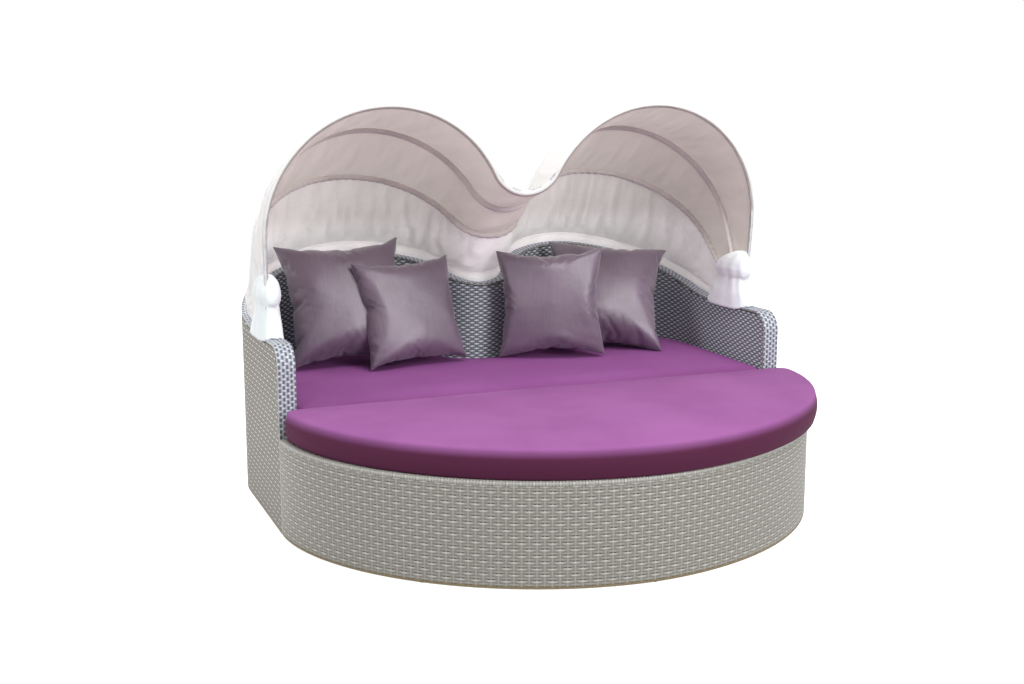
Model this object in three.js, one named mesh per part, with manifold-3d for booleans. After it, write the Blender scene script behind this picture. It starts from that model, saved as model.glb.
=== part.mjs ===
// Outdoor daybed with a folding canopy, in millimetres, +Z up, +Y to the back.
// The back section is heart shaped in plan: two arms, two lobes and a dip in the middle.
// A half moon front piece stands against it. Three M shaped hoops on one axis carry the canopy.

import * as THREE from "three";
import { mergeVertices } from "three/addons/utils/BufferGeometryUtils.js";
import Module from "manifold-3d";

const wasm = await Module();
wasm.setup();

// Overall sizes
const halfWidth = 1000; // outer face of each arm from the middle
const frontDepth = 891; // half moon, chord to its foremost point
const seatGap = 4; // between the back section and the half moon
const seam = 0.3; // clearance between pieces that touch
const slopeGap = 1.2; // clearance between layers along the sloping top of the wall
const weld = 2; // welded members run into each other by this much

// Wall of the back section
const wallThickness = 65;
const lobeShare = 0.53; // of the half width
const lobeX = lobeShare * halfWidth; // lobe centre, from the middle
const armLength = 580; // straight part of each arm
const bulgeRadius = 139; // centre line of the dip in the middle
const armHeight = 670;
const backHeight = 866; // top of the lobes
const cornerRadius = 75; // top front corner of each arm
const skin = 6; // woven skin
const floorGap = 8; // glides lift the frame by this much
const bandThickness = 9;
const bandEase = 3; // chamfer along the band's edges
// How far the top has risen from arm to lobe, along half of the wall
const riseShares = [
  [0, 0], [0.23, 0], [0.3, 0.09], [0.36, 0.256], [0.436, 0.513], [0.508, 0.718],
  [0.583, 0.9], [0.653, 1], [0.732, 0.99], [0.846, 0.83], [0.9165, 0.62], [1, 0.436],
];

// Frame of the back section
const railHeight = 20;
const railWidth = 50;
const postLength = 25;
const postWidth = 40;
const beamWidth = 30;
const beamHeight = 28;
const slatWidth = 55;
const slatPitch = 92;
const slatThickness = 12;
const slatClearance = 4; // from the ends of a slat to the wall
const deckHeight = 345; // top of the slats
const postShares = [0.17, 0.32, 0.48, 0.655, 0.83]; // along half of the wall
const glideRadius = 15;
const glideSides = 10;

// Half moon
const moonHeight = 349; // woven side and its edge band
const moonExponent = 1.9; // an ellipse has 2
const moonBandHeight = 13;
const moonBandWidth = 30;
const moonTubeWidth = 25;

// Cushions
const seatCushionTop = 461;
const moonCushionTop = 465;
const cushionRound = 16; // rounding of the edges
const cushionCrown = 9; // the top swells above its edge by this much
const cushionCrownWidth = 70;
const cushionPull = 4; // the sides draw in by this much at mid height
const cushionCorner = 30;
const cornerArcSteps = 3;
const easeShare = 0.3; // where the rounding's middle lies between its ends
const crownShare = 0.36; // drop of the crown half way to its edge
const cushionClearance = 3; // to the wall
const pillowRest = 0.5; // pillow above the seat cushion

// Canopy: one axis across the arms
const pivotY = 228;
const pivotRise = 18; // axis above the arm
const pivotZ = armHeight + pivotRise;
const tubeRadius = 7.5;
const eyeFlatShare = 0.92; // width of the flattened end, of the tube's
const tubeSides = 8;
const legPitch = 16; // hoop legs stand side by side on the bolt
const legInset = 51.5; // innermost leg, from the outer face of the arm
const rearLegX = halfWidth - legInset;
const eyeRadius = 12;
const eyeShank = 40;
const eyeWidth = 14.8;
const boltRadius = 5;
const boltClearance = 0.5;
const washerThickness = 0.6;
const washerRadius = 9;
const cheekThickness = 2.5;
const bracketLength = 56;
const bracketPlate = 3;
const cheekRadius = 14;
const boltHead = 4;
const boltHeadRadius = 8.5;
const screwRadius = 4;
const screwHeadRadius = 6.4;
const screwHead = 2.2;
const screwSpacing = 42;
const clothThickness = 2.4;
const frontSag = 14; // how far a panel hangs in between its hoops
const middleSag = 12;
const rearSag = 4;
const foldDepth = 1.5; // shallow folds across the panels
const rearFoldDepth = 4;
const sleeveGap = 0.3;
const sleeveThickness = 2;
const hemHeight = 32;
const hemThickness = 4;
const hemOffset = 12; // towards the outside of the wall's centre line
const hemStart = 400; // along the arm
const pipingWidth = 8;
const pipingHeight = 7;

// Each hoop: angle above the horizontal, how far its lobes stay inside the arms, the lobe centre as
// a share of the half width, height of its dip, and the part of the tube's section that its sleeve
// covers, in degrees, with its flats
const hoops = {
  rear: {
    angle: 39, inset: 43, centreShare: 0.531, centreH: 372, dip: 432, leg: 0,
    sleeve: { from: 165, to: 375, flats: 4 },
  },
  middle: {
    angle: 65.5, inset: 34, centreShare: 0.526, centreH: 326, dip: 428, leg: 1,
    sleeve: { from: 165, to: 375, flats: 4 },
  },
  front: {
    angle: 94.5, inset: 13, centreShare: 0.532, centreH: 337, dip: 464, leg: 2,
    sleeve: { from: 70, to: 375, flats: 6 },
  },
};

// Boots: cloth caps over the hoop ends
const bootThickness = 2;
const bootWidth = 71;
const bootOuterX = halfWidth;
const bootInnerX = bootOuterX - bootWidth;
const bootAhead = 38; // from its front to the axis
const bootFrontY = pivotY - bootAhead;
const bootLength = 208; // along the arm
const bootHeight = 196;
const bootLift = 0.4;
const bootRound = 16;
const bootCornerSteps = 3;
// Rise up the cap, then how far back its back edge and its front edge lie along it
const bootShares = [[0, 0.96, 0], [0.2, 1, 0.01], [0.45, 0.93, 0.03], [0.7, 0.76, 0], [1, 0.6, 0]];

// Pillows: cover sizes and thicknesses
const largeLeftSize = 478;
const largeLeftThick = 120;
const smallLeftSize = 412;
const smallLeftThick = 116;
const smallRightSize = 410;
const smallRightThick = 112;
const largeRightSize = 474;
const largeRightThick = 118;
// Place in plan as shares of the half width, then turn, lean and roll in degrees
const pillows = [
  {
    name: "large_pillow_left", size: largeLeftSize, thick: largeLeftThick,
    placeShares: [-0.592, 0.69], turn: 7, lean: 15, roll: 1,
  },
  {
    name: "small_pillow_left", size: smallLeftSize, thick: smallLeftThick,
    placeShares: [-0.34, 0.54], turn: 12.5, lean: 14, roll: 1.5,
  },
  {
    name: "small_pillow_right", size: smallRightSize, thick: smallRightThick,
    placeShares: [0.228, 0.49], turn: -21, lean: 6, roll: 1.5,
  },
  {
    name: "large_pillow_right", size: largeRightSize, thick: largeRightThick,
    placeShares: [0.54, 0.64], turn: -22, lean: 33, roll: -4,
  },
];
const pinchShare = 0.05; // of the size, by which the sides draw in between the corners
const pillowEdge = 3; // half thickness left at the seam

// How fine each sweep is
const lobeSteps = 15;
const bulgeSteps = 8;
const armSteps = 4;
const cornerSteps = 5;
const moonSteps = 34;
const hoopSteps = 38;
const bareSteps = 2; // hoop steps left bare at each end
const clothSteps = hoopSteps - 2 * bareSteps;
const clothRows = 4;
const pillowSteps = 8;
const boreSides = 10;
const boreSegments = boreSides / 2; // an arc takes twice as many
const screwSides = 8;
const hexSides = 6;
const moonPostSpaces = 8; // spaces between posts along the curve
const outlineSearchSteps = 40; // halvings that find where the curve starts

const finish = (color, roughness, metalness = 0) =>
  new THREE.MeshStandardMaterial({ color, roughness, metalness });
const wicker = finish(0x9f9a92, 0.6);
const wickerBand = finish(0xb4b9be, 0.55);
const frameMetal = finish(0x5a5c60, 0.45, 0.8);
const hoopMetal = finish(0x8d8f92, 0.35, 0.9);
const steel = finish(0xb0b2b5, 0.3, 1);
const canopyCloth = finish(0xd8cfca, 0.9);
const plumCloth = finish(0x7d3a7a, 0.85);
const pillowCloth = finish(0x6f5a68, 0.6);
const rubber = finish(0x2a2a2a, 0.9);

// General shapes

const vec = (x, y, z) => new THREE.Vector3(x, y, z);

function signedVolume(points, faces) {
  let sum = 0;
  for (const [a, b, c] of faces) {
    sum += points[a].dot(points[b].clone().cross(points[c]));
  }
  return sum;
}

function solid(points, faces) {
  const out = signedVolume(points, faces) > 0;
  const geometry = new THREE.BufferGeometry();
  const position = new Float32Array(points.length * 3);
  points.forEach((p, i) => position.set([p.x, p.y, p.z], i * 3));
  geometry.setAttribute("position", new THREE.BufferAttribute(position, 3));
  geometry.setIndex(faces.flatMap(([a, b, c]) => (out ? [a, b, c] : [a, c, b])));
  return geometry;
}

// Joins rings of points one after another. A loop joins the last ring to the first,
// and otherwise the two ends are closed by the flat outline of the end rings.
function loft(rings, { loop = false, outline = null } = {}) {
  const count = rings[0].length;
  const points = rings.flat();
  const faces = [];
  const last = loop ? rings.length : rings.length - 1;
  for (let r = 0; r < last; r += 1) {
    const next = (r + 1) % rings.length;
    for (let k = 0; k < count; k += 1) {
      const [a, b] = [r * count + k, r * count + ((k + 1) % count)];
      const [c, d] = [next * count + ((k + 1) % count), next * count + k];
      faces.push([a, b, c], [a, c, d]);
    }
  }
  if (!loop) {
    const top = (rings.length - 1) * count;
    const caps = [[0, outline ? outline[0] : null], [top, outline ? outline[1] : null]];
    caps.forEach(([start, flat], end) => {
      const shape = flat ?? rings[end ? rings.length - 1 : 0].map((p) => new THREE.Vector2(p.x, p.y));
      const wanted = THREE.ShapeUtils.isClockWise(shape);
      for (const [a, b, c] of THREE.ShapeUtils.triangulateShape(shape, [])) {
        const turned = wanted === (THREE.ShapeUtils.area([shape[a], shape[b], shape[c]]) < 0);
        const tri = turned ? [a, b, c] : [a, c, b];
        const face = tri.map((k) => start + k);
        faces.push(end ? face : face.reverse());
      }
    });
  }
  return solid(points, faces);
}

// Sweeps a flat section along frames: each has an origin and the section's two directions.
function sweep(frames, sectionAt) {
  const sections = frames.map((frame, i) => sectionAt(frame, i));
  const rings = frames.map((frame, i) =>
    sections[i].map(([a, b]) =>
      frame.origin.clone().addScaledVector(frame.across, a).addScaledVector(frame.up, b),
    ),
  );
  const flat = (section) => section.map(([a, b]) => new THREE.Vector2(a, b));
  return loft(rings, { outline: [flat(sections[0]), flat(sections.at(-1))] });
}

function block(x0, x1, y0, y1, z0, z1) {
  const geometry = new THREE.BoxGeometry(x1 - x0, y1 - y0, z1 - z0);
  geometry.translate((x0 + x1) / 2, (y0 + y1) / 2, (z0 + z1) / 2);
  return geometry;
}

function bare(geometry) {
  const copy = geometry.index ? geometry.toNonIndexed() : geometry.clone();
  for (const name of Object.keys(copy.attributes)) {
    if (name !== "position") copy.deleteAttribute(name);
  }
  return copy;
}

function toManifold(geometry) {
  const merged = mergeVertices(bare(geometry), 1e-4);
  const mesh = new wasm.Mesh({
    numProp: 3,
    vertProperties: new Float32Array(merged.attributes.position.array),
    triVerts: new Uint32Array(merged.index.array),
  });
  return new wasm.Manifold(mesh);
}

function fromManifold(manifold) {
  const mesh = manifold.getMesh();
  const geometry = new THREE.BufferGeometry();
  geometry.setAttribute("position", new THREE.BufferAttribute(new Float32Array(mesh.vertProperties), 3));
  geometry.setIndex(new THREE.BufferAttribute(new Uint32Array(mesh.triVerts), 1));
  return geometry;
}

// One welded or bonded piece made of overlapping solids
const join = (geometries) => fromManifold(geometries.map(toManifold).reduce((a, b) => a.add(b)));

const mirrorX = (geometry) => {
  const copy = bare(geometry);
  const p = copy.attributes.position;
  for (let i = 0; i < p.count; i += 3) {
    const corners = [0, 1, 2].map((k) => vec(-p.getX(i + k), p.getY(i + k), p.getZ(i + k)));
    [corners[0], corners[2], corners[1]].forEach((c, k) => p.setXYZ(i + k, c.x, c.y, c.z));
  }
  return copy;
};

function cylinderZ(x, y, z0, z1, radius, sides) {
  const geometry = new THREE.CylinderGeometry(radius, radius, z1 - z0, sides);
  geometry.rotateX(Math.PI / 2);
  geometry.translate(x, y, (z0 + z1) / 2);
  return geometry;
}

function cylinderX(x0, x1, radius, sides) {
  const geometry = new THREE.CylinderGeometry(radius, radius, x1 - x0, sides);
  geometry.rotateZ(Math.PI / 2);
  geometry.translate((x0 + x1) / 2, 0, 0);
  return geometry;
}

const toRadians = (degrees) => (degrees * Math.PI) / 180;

// A smooth curve through a table of places and values
function curveThrough(table, at) {
  const last = table.length - 1;
  let i = 0;
  while (i < last - 1 && at > table[i + 1][0]) i += 1;
  const [x0, y0] = table[i];
  const [x1, y1] = table[i + 1];
  const slope = (k) => {
    if (k <= 0 || k >= last) return 0;
    return (table[k + 1][1] - table[k - 1][1]) / (table[k + 1][0] - table[k - 1][0]);
  };
  const t = Math.min(1, Math.max(0, (at - x0) / (x1 - x0)));
  const [t2, t3] = [t * t, t * t * t];
  const run = x1 - x0;
  return (
    (2 * t3 - 3 * t2 + 1) * y0 + (t3 - 2 * t2 + t) * run * slope(i) +
    (3 * t2 - 2 * t3) * y1 + (t3 - t2) * run * slope(i + 1)
  );
}

// Plan of the wall

const halfWall = wallThickness / 2;
const lobeRadius = halfWidth - halfWall - lobeX; // centre line of a lobe
const bulgeY = armLength + Math.sqrt((lobeRadius + bulgeRadius) ** 2 - lobeX ** 2);
const lobeTurn = Math.atan2(bulgeY - armLength, -lobeX); // where lobe and bulge meet
const bulgeTurn = lobeTurn - Math.PI / 2; // half of the bulge's arc
const lobeLength = lobeRadius * lobeTurn;
const halfPath = armLength + lobeLength + bulgeRadius * bulgeTurn;

// A place on the right half of the wall's centre line, s along it from the arm's front
function wallPlace(s) {
  if (s <= armLength) return { x: halfWidth - halfWall, y: s, nx: 1, ny: 0, s };
  if (s <= armLength + lobeLength) {
    const a = (s - armLength) / lobeRadius;
    const [nx, ny] = [Math.cos(a), Math.sin(a)];
    return { x: lobeX + lobeRadius * nx, y: armLength + lobeRadius * ny, nx, ny, s };
  }
  const a = lobeTurn - Math.PI - (s - armLength - lobeLength) / bulgeRadius;
  const [nx, ny] = [-Math.cos(a), -Math.sin(a)];
  return { x: -bulgeRadius * nx, y: bulgeY - bulgeRadius * ny, nx, ny, s };
}

const steps = (from, to, count) =>
  Array.from({ length: count }, (_, i) => from + ((to - from) * (i + 1)) / count);

// Every layer of the wall bends at the same places, so that they stay clear of each other
const armPlaces = [hemStart, ...steps(hemStart, armLength, armSteps)];

// Places from the right arm's front round to the left one, starting at the given distance
function wallPlaces(start, early = []) {
  const half = [
    ...[start, ...early].filter((s) => s < hemStart),
    ...armPlaces,
    ...steps(armLength, armLength + lobeLength, lobeSteps),
    ...steps(armLength + lobeLength, halfPath, bulgeSteps / 2),
  ].map(wallPlace);
  const mirrored = half.slice(0, -1).reverse();
  return [...half, ...mirrored.map((p) => ({ ...p, x: -p.x, nx: -p.nx }))];
}

const wallTop = (s) =>
  armHeight + (backHeight - armHeight) * curveThrough(riseShares, s / halfPath);

// Height of a layer that lies `depth` below the top of the wall, rounded at the arm's front
function layerTop(s, depth) {
  const radius = cornerRadius - depth;
  const run = cornerRadius - s;
  if (run <= 0) return wallTop(s) - depth;
  return armHeight - cornerRadius + Math.sqrt(Math.max(0, radius * radius - run * run));
}

// Distances along the arm that follow the rounded corner of a layer
function cornerPlaces(depth) {
  const radius = cornerRadius - depth;
  return steps(0, Math.PI / 2, cornerSteps).map((a) => cornerRadius - radius * Math.cos(a));
}

const planFrame = (p) => ({
  origin: vec(p.x, p.y, 0),
  across: vec(p.nx, p.ny, 0),
  up: vec(0, 0, 1),
  place: p,
});

// Frames of a layer that runs up an arm's front, over its corner and along the whole top
function layerFrames(depth, bottom) {
  const radius = cornerRadius - depth;
  const x = halfWidth - halfWall;
  const cornerZ = armHeight - cornerRadius;
  const across = vec(1, 0, 0);
  const rise = [{ origin: vec(x, depth, bottom), across, up: vec(0, -1, 0) }];
  for (let i = 0; i <= cornerSteps; i += 1) {
    const a = ((Math.PI / 2) * i) / cornerSteps;
    rise.push({
      origin: vec(x, cornerRadius - radius * Math.cos(a), cornerZ + radius * Math.sin(a)),
      across,
      up: vec(0, -Math.cos(a), Math.sin(a)),
    });
  }
  const fall = rise.map(({ origin, up }) => ({
    origin: vec(-origin.x, origin.y, origin.z),
    across: vec(-1, 0, 0),
    up,
  }));
  const top = wallPlaces(cornerRadius).slice(1, -1).map((p) => {
    const frame = planFrame(p);
    frame.origin.z = wallTop(p.s) - depth;
    return frame;
  });
  return [...rise, ...top, ...fall.reverse()];
}

// Back section

const skinDepth = bandThickness + slopeGap;
const railDepth = skinDepth + skin + slopeGap;
const beamTop = deckHeight - slatThickness - seam;
const beamBottom = beamTop - beamHeight;
const railFloor = floorGap + seam;
const railFloorTop = railFloor + railHeight;

function wallWeave() {
  const inner = beamTop + seam;
  const ease = skin;
  const places = wallPlaces(skinDepth, cornerPlaces(skinDepth));
  return sweep(places.map(planFrame), ({ place }) => {
    const top = layerTop(place.s, skinDepth);
    return [
      [halfWall, floorGap], [halfWall, top - ease], [halfWall - ease, top],
      [ease - halfWall, top], [-halfWall, top - ease], [-halfWall, inner],
      [skin - halfWall, inner], [skin - halfWall, top - skin],
      [halfWall - skin, top - skin], [halfWall - skin, floorGap],
    ];
  });
}

function edgeBand() {
  const section = [
    [-halfWall, 0], [-halfWall, bandThickness - bandEase], [bandEase - halfWall, bandThickness],
    [halfWall - bandEase, bandThickness], [halfWall, bandThickness - bandEase], [halfWall, 0],
  ];
  return sweep(layerFrames(bandThickness, floorGap), () => section);
}

function topRail() {
  const half = railWidth / 2;
  const section = [[-half, 0], [half, 0], [half, -railHeight], [-half, -railHeight]];
  return sweep(layerFrames(railDepth, railFloorTop - weld), () => section);
}

function bottomRail() {
  const half = railWidth / 2;
  const section = [
    [-half, railFloor], [half, railFloor], [half, railFloorTop], [-half, railFloorTop],
  ];
  return sweep(wallPlaces(railDepth).map(planFrame), () => section);
}

const postPlaces = () => [...postShares, 1].map((share) => wallPlace(share * halfPath));

function wallPosts() {
  const half = postWidth / 2;
  const low = railFloorTop - weld;
  const posts = postPlaces().map((p) => {
    const geometry = block(
      -half, half, -postLength / 2, postLength / 2,
      low, wallTop(p.s) - railDepth - railHeight / 2,
    );
    geometry.rotateZ(Math.atan2(p.ny, p.nx));
    geometry.translate(p.x, p.y, 0);
    return geometry;
  });
  return [...posts, ...posts.slice(0, -1).map(mirrorX)];
}

const wallFrame = () => join([topRail(), bottomRail(), ...wallPosts()]);

const ledgerOuter = railWidth / 2 + seam;
const ledgerInner = ledgerOuter + beamWidth;
const frontFace = seatGap; // the woven front panel stands back from the arm fronts
const frontBeamY = frontFace + skin + seam;
const frontBeamBack = frontBeamY + beamWidth;

function deckLedger() {
  const section = [
    [-ledgerInner, beamBottom], [-ledgerOuter, beamBottom],
    [-ledgerOuter, beamTop], [-ledgerInner, beamTop],
  ];
  return sweep(wallPlaces(frontBeamBack - weld).map(planFrame), () => section);
}

const beamX = lobeX; // the side beams run under the lobe centres

function frontFrame() {
  const inside = halfWidth - halfWall - railWidth / 2 - seam;
  const pieces = [
    block(-inside, inside, frontBeamY, frontBeamBack, beamBottom, beamTop),
    block(-inside, inside, frontBeamY, frontBeamBack, railFloor, railFloorTop),
  ];
  const half = beamWidth / 2;
  for (const x of [-beamX, 0, beamX]) {
    const [low, high] = [railFloorTop - weld, beamBottom + weld];
    pieces.push(block(x - half, x + half, frontBeamY + weld, frontBeamBack - weld, low, high));
  }
  return pieces;
}

function frontWeave() {
  const inside = halfWidth - wallThickness - seam;
  const shape = new THREE.Shape();
  const top = beamTop + seam + skin;
  shape.moveTo(frontFace, floorGap);
  shape.lineTo(frontFace, top);
  shape.lineTo(frontBeamBack, top);
  shape.lineTo(frontBeamBack, top - skin);
  shape.lineTo(frontFace + skin, top - skin);
  shape.lineTo(frontFace + skin, floorGap);
  shape.closePath();
  const geometry = new THREE.ExtrudeGeometry(shape, { depth: 2 * inside, bevelEnabled: false });
  geometry.rotateY(Math.PI / 2);
  geometry.rotateX(Math.PI / 2);
  geometry.translate(-inside, 0, 0);
  return geometry;
}

function seatBeams() {
  const half = beamWidth / 2;
  const start = frontBeamBack - weld;
  const lobeEnd = lobeRadius - ledgerInner + weld;
  const middleEnd = bulgeY - bulgeRadius - ledgerInner + weld;
  const reach = armLength + lobeEnd;
  return [
    block(-beamX - half, -beamX + half, start, reach, beamBottom, beamTop),
    block(-half, half, start, middleEnd, beamBottom, beamTop),
    block(beamX - half, beamX + half, start, reach, beamBottom, beamTop),
  ];
}

// Free width across the seat at y: from the bulge, or the middle, out to the wall
function seatRange(y, clearance) {
  const radius = lobeRadius - halfWall - clearance;
  const bulge = bulgeRadius + halfWall + clearance;
  const meetY = armLength + radius * Math.sin(lobeTurn);
  const chord = (r, d) => Math.sqrt(Math.max(0, r * r - d * d));
  const outer = lobeX + (y > armLength ? chord(radius, y - armLength) : radius);
  let inner = 0;
  if (y > meetY) inner = lobeX - chord(radius, y - armLength);
  else if (y > bulgeY - bulge) inner = chord(bulge, bulgeY - y);
  return [inner, outer];
}

function seatSlats() {
  const pieces = [];
  const first = frontBeamBack + seam + slatWidth / 2;
  const last = armLength + lobeRadius - halfWall - slatWidth;
  const [low, high] = [beamTop - weld, deckHeight];
  for (let y = first; y < last; y += slatPitch) {
    const edges = [-0.5, -0.25, 0, 0.25, 0.5].map((k) => seatRange(y + k * slatWidth, slatClearance));
    const inner = Math.max(...edges.map((e) => e[0]));
    const outer = Math.min(...edges.map((e) => e[1]));
    const [front, back] = [y - slatWidth / 2, y + slatWidth / 2];
    if (inner > 0) {
      const piece = block(inner, outer, front, back, low, high);
      pieces.push(piece, mirrorX(piece));
    } else {
      pieces.push(block(-outer, outer, front, back, low, high));
    }
  }
  return pieces;
}

const seatDeck = () => join([deckLedger(), ...frontFrame(), ...seatBeams(), ...seatSlats()]);

const glide = ([x, y]) => cylinderZ(x, y, 0, floorGap, glideRadius, glideSides);

function seatGlidePlaces() {
  const front = wallPlace(railDepth + glideRadius);
  const side = wallPlace(armLength);
  const back = wallPlace(armLength + (lobeRadius * Math.PI) / 2);
  const sides = [front, side, back].flatMap(({ x, y }) => [[x, y], [-x, y]]);
  return [...sides, [0, frontBeamY + beamWidth / 2]];
}

// Cushions: an outline that can be drawn in, and levels up its side and over its crown
function cushion(outlineAt, bottom, top) {
  const edge = top - cushionCrown;
  const middle = (bottom + edge) / 2;
  const ease = cushionRound;
  const levels = [
    [ease, bottom], [ease * easeShare, bottom + ease * easeShare], [0, bottom + ease],
    [cushionPull, middle], [0, edge - ease], [ease * easeShare, edge - ease * easeShare],
    [ease, edge], [cushionCrownWidth / 2, top - cushionCrown * crownShare],
    [cushionCrownWidth, top],
  ];
  return loft(levels.map(([inset, z]) => outlineAt(inset).map(([x, y]) => vec(x, y, z))));
}

function cornerArc(cx, cy, radius, from, count) {
  const arc = [];
  for (let i = 0; i <= count; i += 1) {
    const a = from + ((Math.PI / 2) * i) / count;
    arc.push([cx + radius * Math.cos(a), cy + radius * Math.sin(a)]);
  }
  return arc;
}

function seatCushion() {
  const outlineAt = (inset) => {
    const offset = halfWall + cushionClearance + inset;
    const radius = Math.max(cushionCorner - inset, weld);
    const places = wallPlaces(seatGap / 2 + inset + radius);
    const wall = places.map((p) => [p.x - p.nx * offset, p.y - p.ny * offset]);
    const x = halfWidth - wallThickness - cushionClearance - inset - radius;
    const y = seatGap / 2 + inset + radius;
    const left = cornerArc(-x, y, radius, Math.PI, cornerArcSteps);
    const right = cornerArc(x, y, radius, (Math.PI * 3) / 2, cornerArcSteps);
    return [...wall.slice(1, -1), ...left, ...right];
  };
  return cushion(outlineAt, deckHeight + seam, seatCushionTop);
}

// Half moon

const moonBack = seatGap; // its back face stands this far in front of the arms

// A place on the half moon's outline, t from 0 at the right end to pi at the left
function moonPlace(t) {
  const power = 2 / moonExponent;
  const [c, s] = [Math.cos(t), Math.sin(t)];
  const x = halfWidth * Math.sign(c) * Math.abs(c) ** power;
  const y = -frontDepth * Math.abs(s) ** power;
  const gx = Math.sign(x) * Math.abs(x / halfWidth) ** (moonExponent - 1) / halfWidth;
  const gy = -(Math.abs(y / frontDepth) ** (moonExponent - 1)) / frontDepth;
  const size = Math.hypot(gx, gy);
  return { x, y, nx: gx / size, ny: gy / size };
}

// Places whose offset inward by `inset` starts and ends at y = -start
function moonPlaces(start, inset = 0) {
  let [low, high] = [0, Math.PI / 2];
  for (let i = 0; i < outlineSearchSteps; i += 1) {
    const middle = (low + high) / 2;
    const p = moonPlace(middle);
    if (p.y - p.ny * inset > -start) low = middle;
    else high = middle;
  }
  return [low, ...steps(low, Math.PI - low, moonSteps)].map(moonPlace);
}

const moonSkinBack = moonBack + skin + seam;
const moonBandBottom = moonHeight - moonBandHeight;
const moonRailTop = moonBandBottom - seam - skin - seam;
const moonBeamTop = moonHeight - slatThickness - 2 * seam;
const moonBeamBottom = moonBeamTop - beamHeight;

function moonWeave() {
  const top = moonBandBottom - seam;
  const section = [
    [0, floorGap], [0, top], [-moonBandWidth, top], [-moonBandWidth, top - skin],
    [-skin, top - skin], [-skin, floorGap],
  ];
  return sweep(moonPlaces(moonSkinBack, moonBandWidth).map(planFrame), () => section);
}

function moonBand() {
  const section = [
    [0, moonBandBottom], [0, moonHeight - bandEase], [-bandEase, moonHeight],
    [bandEase - moonBandWidth, moonHeight], [-moonBandWidth, moonHeight - bandEase],
    [-moonBandWidth, moonBandBottom],
  ];
  return sweep(moonPlaces(moonSkinBack, moonBandWidth).map(planFrame), () => section);
}

function moonBackWeave() {
  return block(-halfWidth, halfWidth, -moonBack - skin, -moonBack, floorGap, moonHeight);
}

function moonRing(bottom, top) {
  const outer = -skin - seam;
  const inner = outer - moonTubeWidth;
  const ring = [[inner, bottom], [outer, bottom], [outer, top], [inner, top]];
  const curve = sweep(moonPlaces(moonSkinBack + weld).map(planFrame), () => ring);
  const side = halfWidth - skin - seam - weld;
  const back = block(-side, side, -moonSkinBack - moonTubeWidth, -moonSkinBack, bottom, top);
  return [curve, back];
}

function moonPosts() {
  const [low, high] = [railFloorTop - weld, moonRailTop - railHeight + weld];
  const inset = skin + seam + moonTubeWidth / 2;
  const half = moonTubeWidth / 2 - weld;
  const pieces = steps(0, Math.PI, moonPostSpaces).slice(0, -1).map((t) => {
    const p = moonPlace(t);
    const geometry = block(-half, half, -half, half, low, high);
    geometry.rotateZ(Math.atan2(p.ny, p.nx));
    geometry.translate(p.x - p.nx * inset, p.y - p.ny * inset, 0);
    return geometry;
  });
  const backY = -moonSkinBack - moonTubeWidth / 2;
  const side = halfWidth - skin - seam - moonTubeWidth;
  for (const x of [-side, -lobeX, 0, lobeX, side]) {
    pieces.push(block(x - half, x + half, backY - half, backY + half, low, high));
  }
  return pieces;
}

function moonFrame() {
  const top = moonRing(moonRailTop - railHeight, moonRailTop);
  return join([...top, ...moonRing(railFloor, railFloorTop), ...moonPosts()]);
}

// Free half width inside the half moon at distance y in front of the chord
const moonHalf = (y, inset) => {
  const depth = Math.min(1, (y + inset) / frontDepth);
  return halfWidth * (1 - depth ** moonExponent) ** (1 / moonExponent) - inset;
};

const moonInner = skin + seam + moonTubeWidth + seam;

function moonBeams() {
  const half = beamWidth / 2;
  const start = moonBack + moonInner;
  return [-lobeX, 0, lobeX].map((x) => {
    let reach = frontDepth - moonInner;
    while (moonHalf(reach, moonInner) < Math.abs(x) + half) reach -= seam;
    return block(x - half, x + half, -reach, -start, moonBeamBottom, moonBeamTop);
  });
}

function moonSlats() {
  const pieces = [];
  const first = moonBack + skin + seam + slatWidth / 2 + seam;
  const inset = moonBandWidth + seam;
  for (let y = first; y < frontDepth - inset - slatWidth; y += slatPitch) {
    const half = moonHalf(y + slatWidth / 2, inset) - seam;
    const [front, back] = [-y - slatWidth / 2, -y + slatWidth / 2];
    pieces.push(block(-half, half, front, back, moonBeamTop - weld, moonHeight - seam));
  }
  return pieces;
}

const moonDeck = () => join([...moonBeams(), ...moonSlats()]);

function moonGlidePlaces() {
  const inset = skin + seam + moonTubeWidth / 2;
  const curved = [Math.PI / 4, Math.PI / 2, (Math.PI * 3) / 4].map((t) => {
    const p = moonPlace(t);
    return [p.x - p.nx * inset, p.y - p.ny * inset];
  });
  const backY = -moonSkinBack - moonTubeWidth / 2;
  const side = halfWidth - skin - seam - moonTubeWidth;
  return [...curved, [side, backY], [-side, backY]];
}

function moonCushion() {
  const outlineAt = (inset) => {
    const radius = Math.max(cushionCorner - inset, weld);
    const curve = moonPlaces(seatGap / 2 + inset + radius, inset).map((p) => [
      p.x - p.nx * inset, p.y - p.ny * inset,
    ]);
    const x = curve[0][0] - radius;
    const y = -seatGap / 2 - inset - radius;
    const right = cornerArc(x, y, radius, 0, cornerArcSteps).slice(1);
    const left = cornerArc(-x, y, radius, Math.PI / 2, cornerArcSteps).slice(0, -1);
    return [...curve.reverse(), ...right, ...left];
  };
  return cushion(outlineAt, moonHeight + seam, moonCushionTop);
}

// Pillows

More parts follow.
